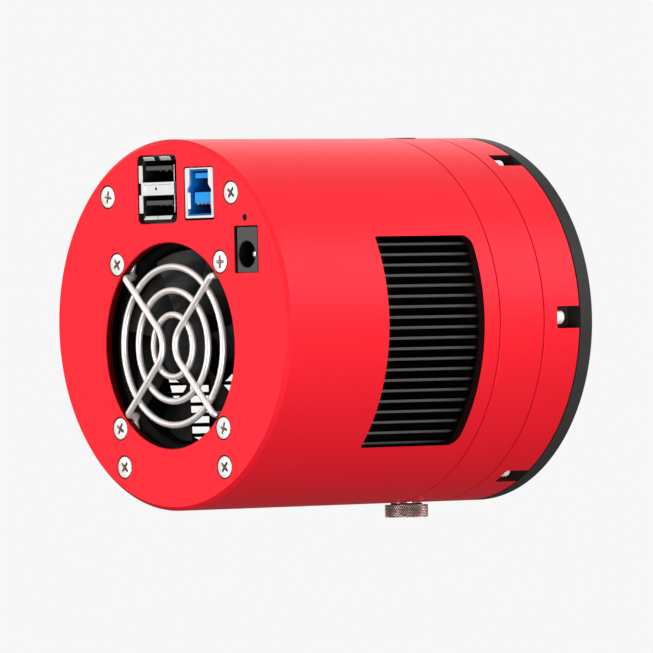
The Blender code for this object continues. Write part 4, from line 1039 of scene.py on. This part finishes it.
def dc_jack():
    """The jack's body with its round bore, and the pin in the bore's middle."""
    low, high = bench("dc_jack_body")
    axis = middle_of("dc_jack_pin")
    across = (low.x + 0.6, high.x + 0.15)
    body = solid("jack_body", drawn(block, across, (low.y, high.y), (low.z, high.z - 0.15), 0.3, 4))
    wide, bore, hole = 3.4, 3.2, 1.1
    floor = low.y + 9.5
    ahead = high.y + PAST
    profile = [(0.0, -PAST), (wide, -PAST), (wide, low.y), (bore, low.y + 0.2), (bore, floor), (hole, floor)]
    carve(body, drawn(turned, profile + [(hole, ahead), (0.0, ahead)], axis, 64))
    finish(body, "jack_plastic", "dc_jack_body", bevel=0.15)
    # The inside of the bore gets painted shade.
    paint_zone(body, "hole_painted_shade",
               lambda centre, normal: centre.y > low.y + 0.25 and off_axis(centre, axis) < bore + 0.1)
    start, end = ends("dc_jack_pin")
    profile = [(0.0, start), (0.95, start, 0.6), (0.95, end), (0.0, end)]
    finish(lathe("jack_pin", profile, 6, centre=axis, segments=32), "pin_metal", "dc_jack_pin")


# ---- ports


def knurl(angle, height, teeth, lead):
    """Height of a diamond knurl, from 0 in the grooves to 1 on the points."""
    left = abs((teeth * angle / 360.0 + height / lead) % 1.0 - 0.5) * 2
    right = abs((teeth * angle / 360.0 - height / lead) % 1.0 - 0.5) * 2
    return min(left, right)


def desiccant_cap():
    """The knurled cap with its shank and its tablet tube."""
    low, high = bench("desiccant_cap")
    floor = RADIUS + 0.5
    tip = -low.z
    radius = high.x
    teeth = 56
    lead = 0.8
    groove = 0.24
    rows = 34
    chamfer = 0.15
    tube_bore, tube_radius, shank, neck = 2.3, 3.0, 3.4, 3.875
    profile = [(0.0, 40.0), (tube_bore, 40.0), (tube_bore, 27.0), (tube_radius, 27.0), (tube_radius, 36.0)]
    profile += [(shank, 36.5), (shank, floor - 0.4), (neck, floor - 0.4), (neck, floor)]
    profile.append((radius - chamfer, floor))
    for row in range(rows + 1):
        profile.append((radius, floor + chamfer + (tip - floor - 2 * chamfer) * row / rows))
    profile += [(radius - chamfer, tip), (radius - 1.1, tip), (radius - 1.3, tip - 0.15), (0.0, tip - 0.15)]
    bm = drawn(turned, profile, segments=8 * teeth)
    for vert in bm.verts:
        reach = off_axis(vert.co)
        if abs(reach - radius) < 0.01:
            angle = math.degrees(math.atan2(vert.co.z, vert.co.x)) % 360.0
            scale = (radius - groove * (1.0 - knurl(angle, vert.co.y, teeth, lead))) / reach
            vert.co.x *= scale
            vert.co.z *= scale
    bmesh.ops.transform(bm, matrix=port(-1), verts=bm.verts)
    # The cap's steel carries a painted reflection of the red drum.
    cap = finish(solid("cap_knurled", bm), "thumb_steel", "desiccant_cap", body="desiccant_cap", sharp=50.0)

    # Picks the deepest part of the knurl's grooves and the neck below the drum's surface for painted shade.
    def in_painted_shade(centre, normal):
        reach = math.hypot(centre.x, centre.y - PORT_Y)
        return -centre.z > RADIUS and reach < radius - 0.6 * groove and abs(normal.z) < 0.9

    paint_zone(cap, "knurl_painted_shade", in_painted_shade)


def top_plug():
    """The plug in the upper port, with its hexagon socket."""
    high = bench("top_port_plug")[1]
    face = high.z
    radius = high.x
    shank, seat = 3.0, 43.7
    profile = [(0.0, 38.4), (shank, 38.4), (shank, seat), (radius, seat), (radius, face, 0.15), (0.0, face)]
    plug = lathe("port_plug", profile, 3, segments=96, place=port(1))
    carve(plug, drawn(prism, hexagon(1.5), (face - SOCKET_DEPTH, face + PAST), port(1)))
    finish(plug, "black_anodised", "top_port_plug", bevel=0.05)


# ---- front optics


def front_optics():
    """The carrier with both windows' openings, the slotted ring that holds the pane, and the pane."""
    low, high = bench("window_carrier")
    bore, seat, ledge = 17.0, 20.3, 83.2
    profile = [(bore, low.y), (high.x, low.y), (high.x, high.y, 0.2)]
    profile += [(seat, high.y, 0.25), (seat, ledge), (bore, ledge)]
    carrier = lathe("carrier", profile, 3)
    guide_low, guide_high = bench("guide_window")
    fit = 0.25
    across = (guide_low.x - fit, guide_high.x + fit)
    upward = (guide_low.z - fit, guide_high.z + fit)
    carve(carrier, drawn(block, across, (low.y - PAST, high.y + PAST), upward, 0.8, 5))
    finish(carrier, "black_anodised", "window_carrier", bevel=0.1)

    low, high = bench("window_retaining_ring")
    bore = 17.8
    profile = [(bore, low.y), (high.x, low.y), (high.x, high.y, 0.15), (bore, high.y, 0.3)]
    ring = lathe("retaining_ring", profile, 3)
    cutter = bmesh.new()
    for x in ((-21.0, -17.0), (17.0, 21.0)):
        block(cutter, x, (high.y - 0.5, high.y + PAST), (-0.6, 0.6))
    carve(ring, cutter)
    finish(ring, "black_anodised", "window_retaining_ring", bevel=0.05)

    low, high = bench("protect_window")
    profile = [(0.0, low.y), (high.x, low.y, 0.2), (high.x, high.y, 0.2), (0.0, high.y)]
    finish(lathe("window_pane", profile, 2), "glass", "protect_window")


# ---- stage, light and camera


def plain_look(name, level, glow):
    """A stage surface that glows evenly, as a lit studio backdrop does."""
    made = Nodes(name)
    made.set(Base_Color=(level, level, level, 1.0), Roughness=0.9, Specular_IOR_Level=0.0)
    made.set(Emission_Color=(1.0, 1.0, 1.0, 1.0), Emission_Strength=glow)


def stage():
    """A level floor that curves up into a backdrop all round the object."""
    level, wall, height, curve = -150.0, 3000.0, 2500.0, 900.0
    profile = [(0.0, level), (wall, level, curve), (wall, height)]
    upright = Matrix.Rotation(math.pi / 2, 4, "X")
    backdrop = lathe("studio_floor", profile, 16, segments=64, place=upright)
    plain_look("pale_floor", 0.004, 0.926)
    backdrop.data.materials.append(LOOKS["pale_floor"])
    backdrop.data.shade_smooth()
    backdrop.visible_diffuse = False
    backdrop.visible_glossy = False
    backdrop.visible_shadow = False


def sky():
    """Soft light from all round, brightest overhead and weak from below."""
    world = bpy.data.worlds.new("studio")
    bpy.context.scene.world = world
    world.use_nodes = True
    tree = world.node_tree
    background = tree.nodes["Background"]
    direction = tree.nodes.new("ShaderNodeTexCoord")
    split = tree.nodes.new("ShaderNodeSeparateXYZ")
    ramp = tree.nodes.new("ShaderNodeValToRGB")
    scale = tree.nodes.new("ShaderNodeMapRange")
    fill(scale, From_Min=-1.0)
    tree.links.new(direction.outputs["Generated"], split.inputs["Vector"])
    tree.links.new(split.outputs["Z"], scale.inputs["Value"])
    tree.links.new(scale.outputs["Result"], ramp.inputs["Fac"])
    tree.links.new(ramp.outputs["Color"], background.inputs["Color"])
    levels = ((0.0, 0.08), (0.38, 0.16), (0.5, 0.55), (0.62, 0.8), (1.0, 0.85))
    elements = ramp.color_ramp.elements
    while len(elements) < len(levels):
        elements.new(0.5)
    for element, (position, level) in zip(elements, levels):
        element.position = position
        element.color = (level, level, level, 1.0)
    fill(background, Strength=0.9)


def softbox(name, place, size, power):
    """An area light that faces the drum's middle."""
    light = bpy.data.lights.new(name, "AREA")
    light.shape = "RECTANGLE"
    light.size = size[0]
    light.size_y = size[1]
    light.energy = power
    obj = bpy.data.objects.new(name, light)
    aim = Vector((0.0, REAR / 2, 0.0))
    obj.location = place
    obj.rotation_euler = (aim - Vector(place)).to_track_quat("-Z", "Y").to_euler()
    obj.visible_camera = False
    bpy.context.scene.collection.objects.link(obj)


def camera():
    """A long lens from behind and to the right, level with the drum's axis."""
    place = Vector((1.71923, -1.46560, -0.00088))
    forward = Vector((-0.771433, 0.636310, -0.0001)).normalized()
    roll = math.radians(-1.202)
    right = forward.cross(Vector((0.0, 0.0, 1.0))).normalized()
    up = right.cross(forward)
    rolled_right = right * math.cos(roll) + up * math.sin(roll)
    rolled_up = up * math.cos(roll) - right * math.sin(roll)
    made = bpy.data.cameras.new("camera")
    made.lens = 500.44
    made.sensor_width = 36.0
    made.clip_start = 0.1
    made.clip_end = 20.0
    obj = bpy.data.objects.new("camera", made)
    matrix = Matrix((rolled_right, rolled_up, -forward)).transposed().to_4x4()
    matrix.translation = place
    obj.matrix_world = matrix
    bpy.context.scene.collection.objects.link(obj)
    bpy.context.scene.camera = obj


camera()
dress_frame()
rear_housing()
middle_housing()
front_housing()
tilting_plate()
cross_screws()
cap_screws()
standoffs()
guard()
fan_rotor()
fan_case()
heat_sink()
usb_a()
usb_b()
dc_jack()
desiccant_cap()
top_plug()
front_optics()
stage()
sky()
softbox("key_right", (2.0, -0.5, -0.7), (1.4, 1.4), 62.0)
softbox("key_left", (-0.7, -2.1, 0.25), (1.3, 1.3), 34.0)
softbox("front_right", (1.4, 1.5, 0.9), (1.2, 1.2), 13.0)
softbox("rim", (-1.3, 1.4, 1.0), (1.2, 1.2), 4.0)
softbox("top", (0.4, -0.2, 2.0), (1.6, 1.6), 9.0)
bpy.context.scene.view_settings.view_transform = "Standard"
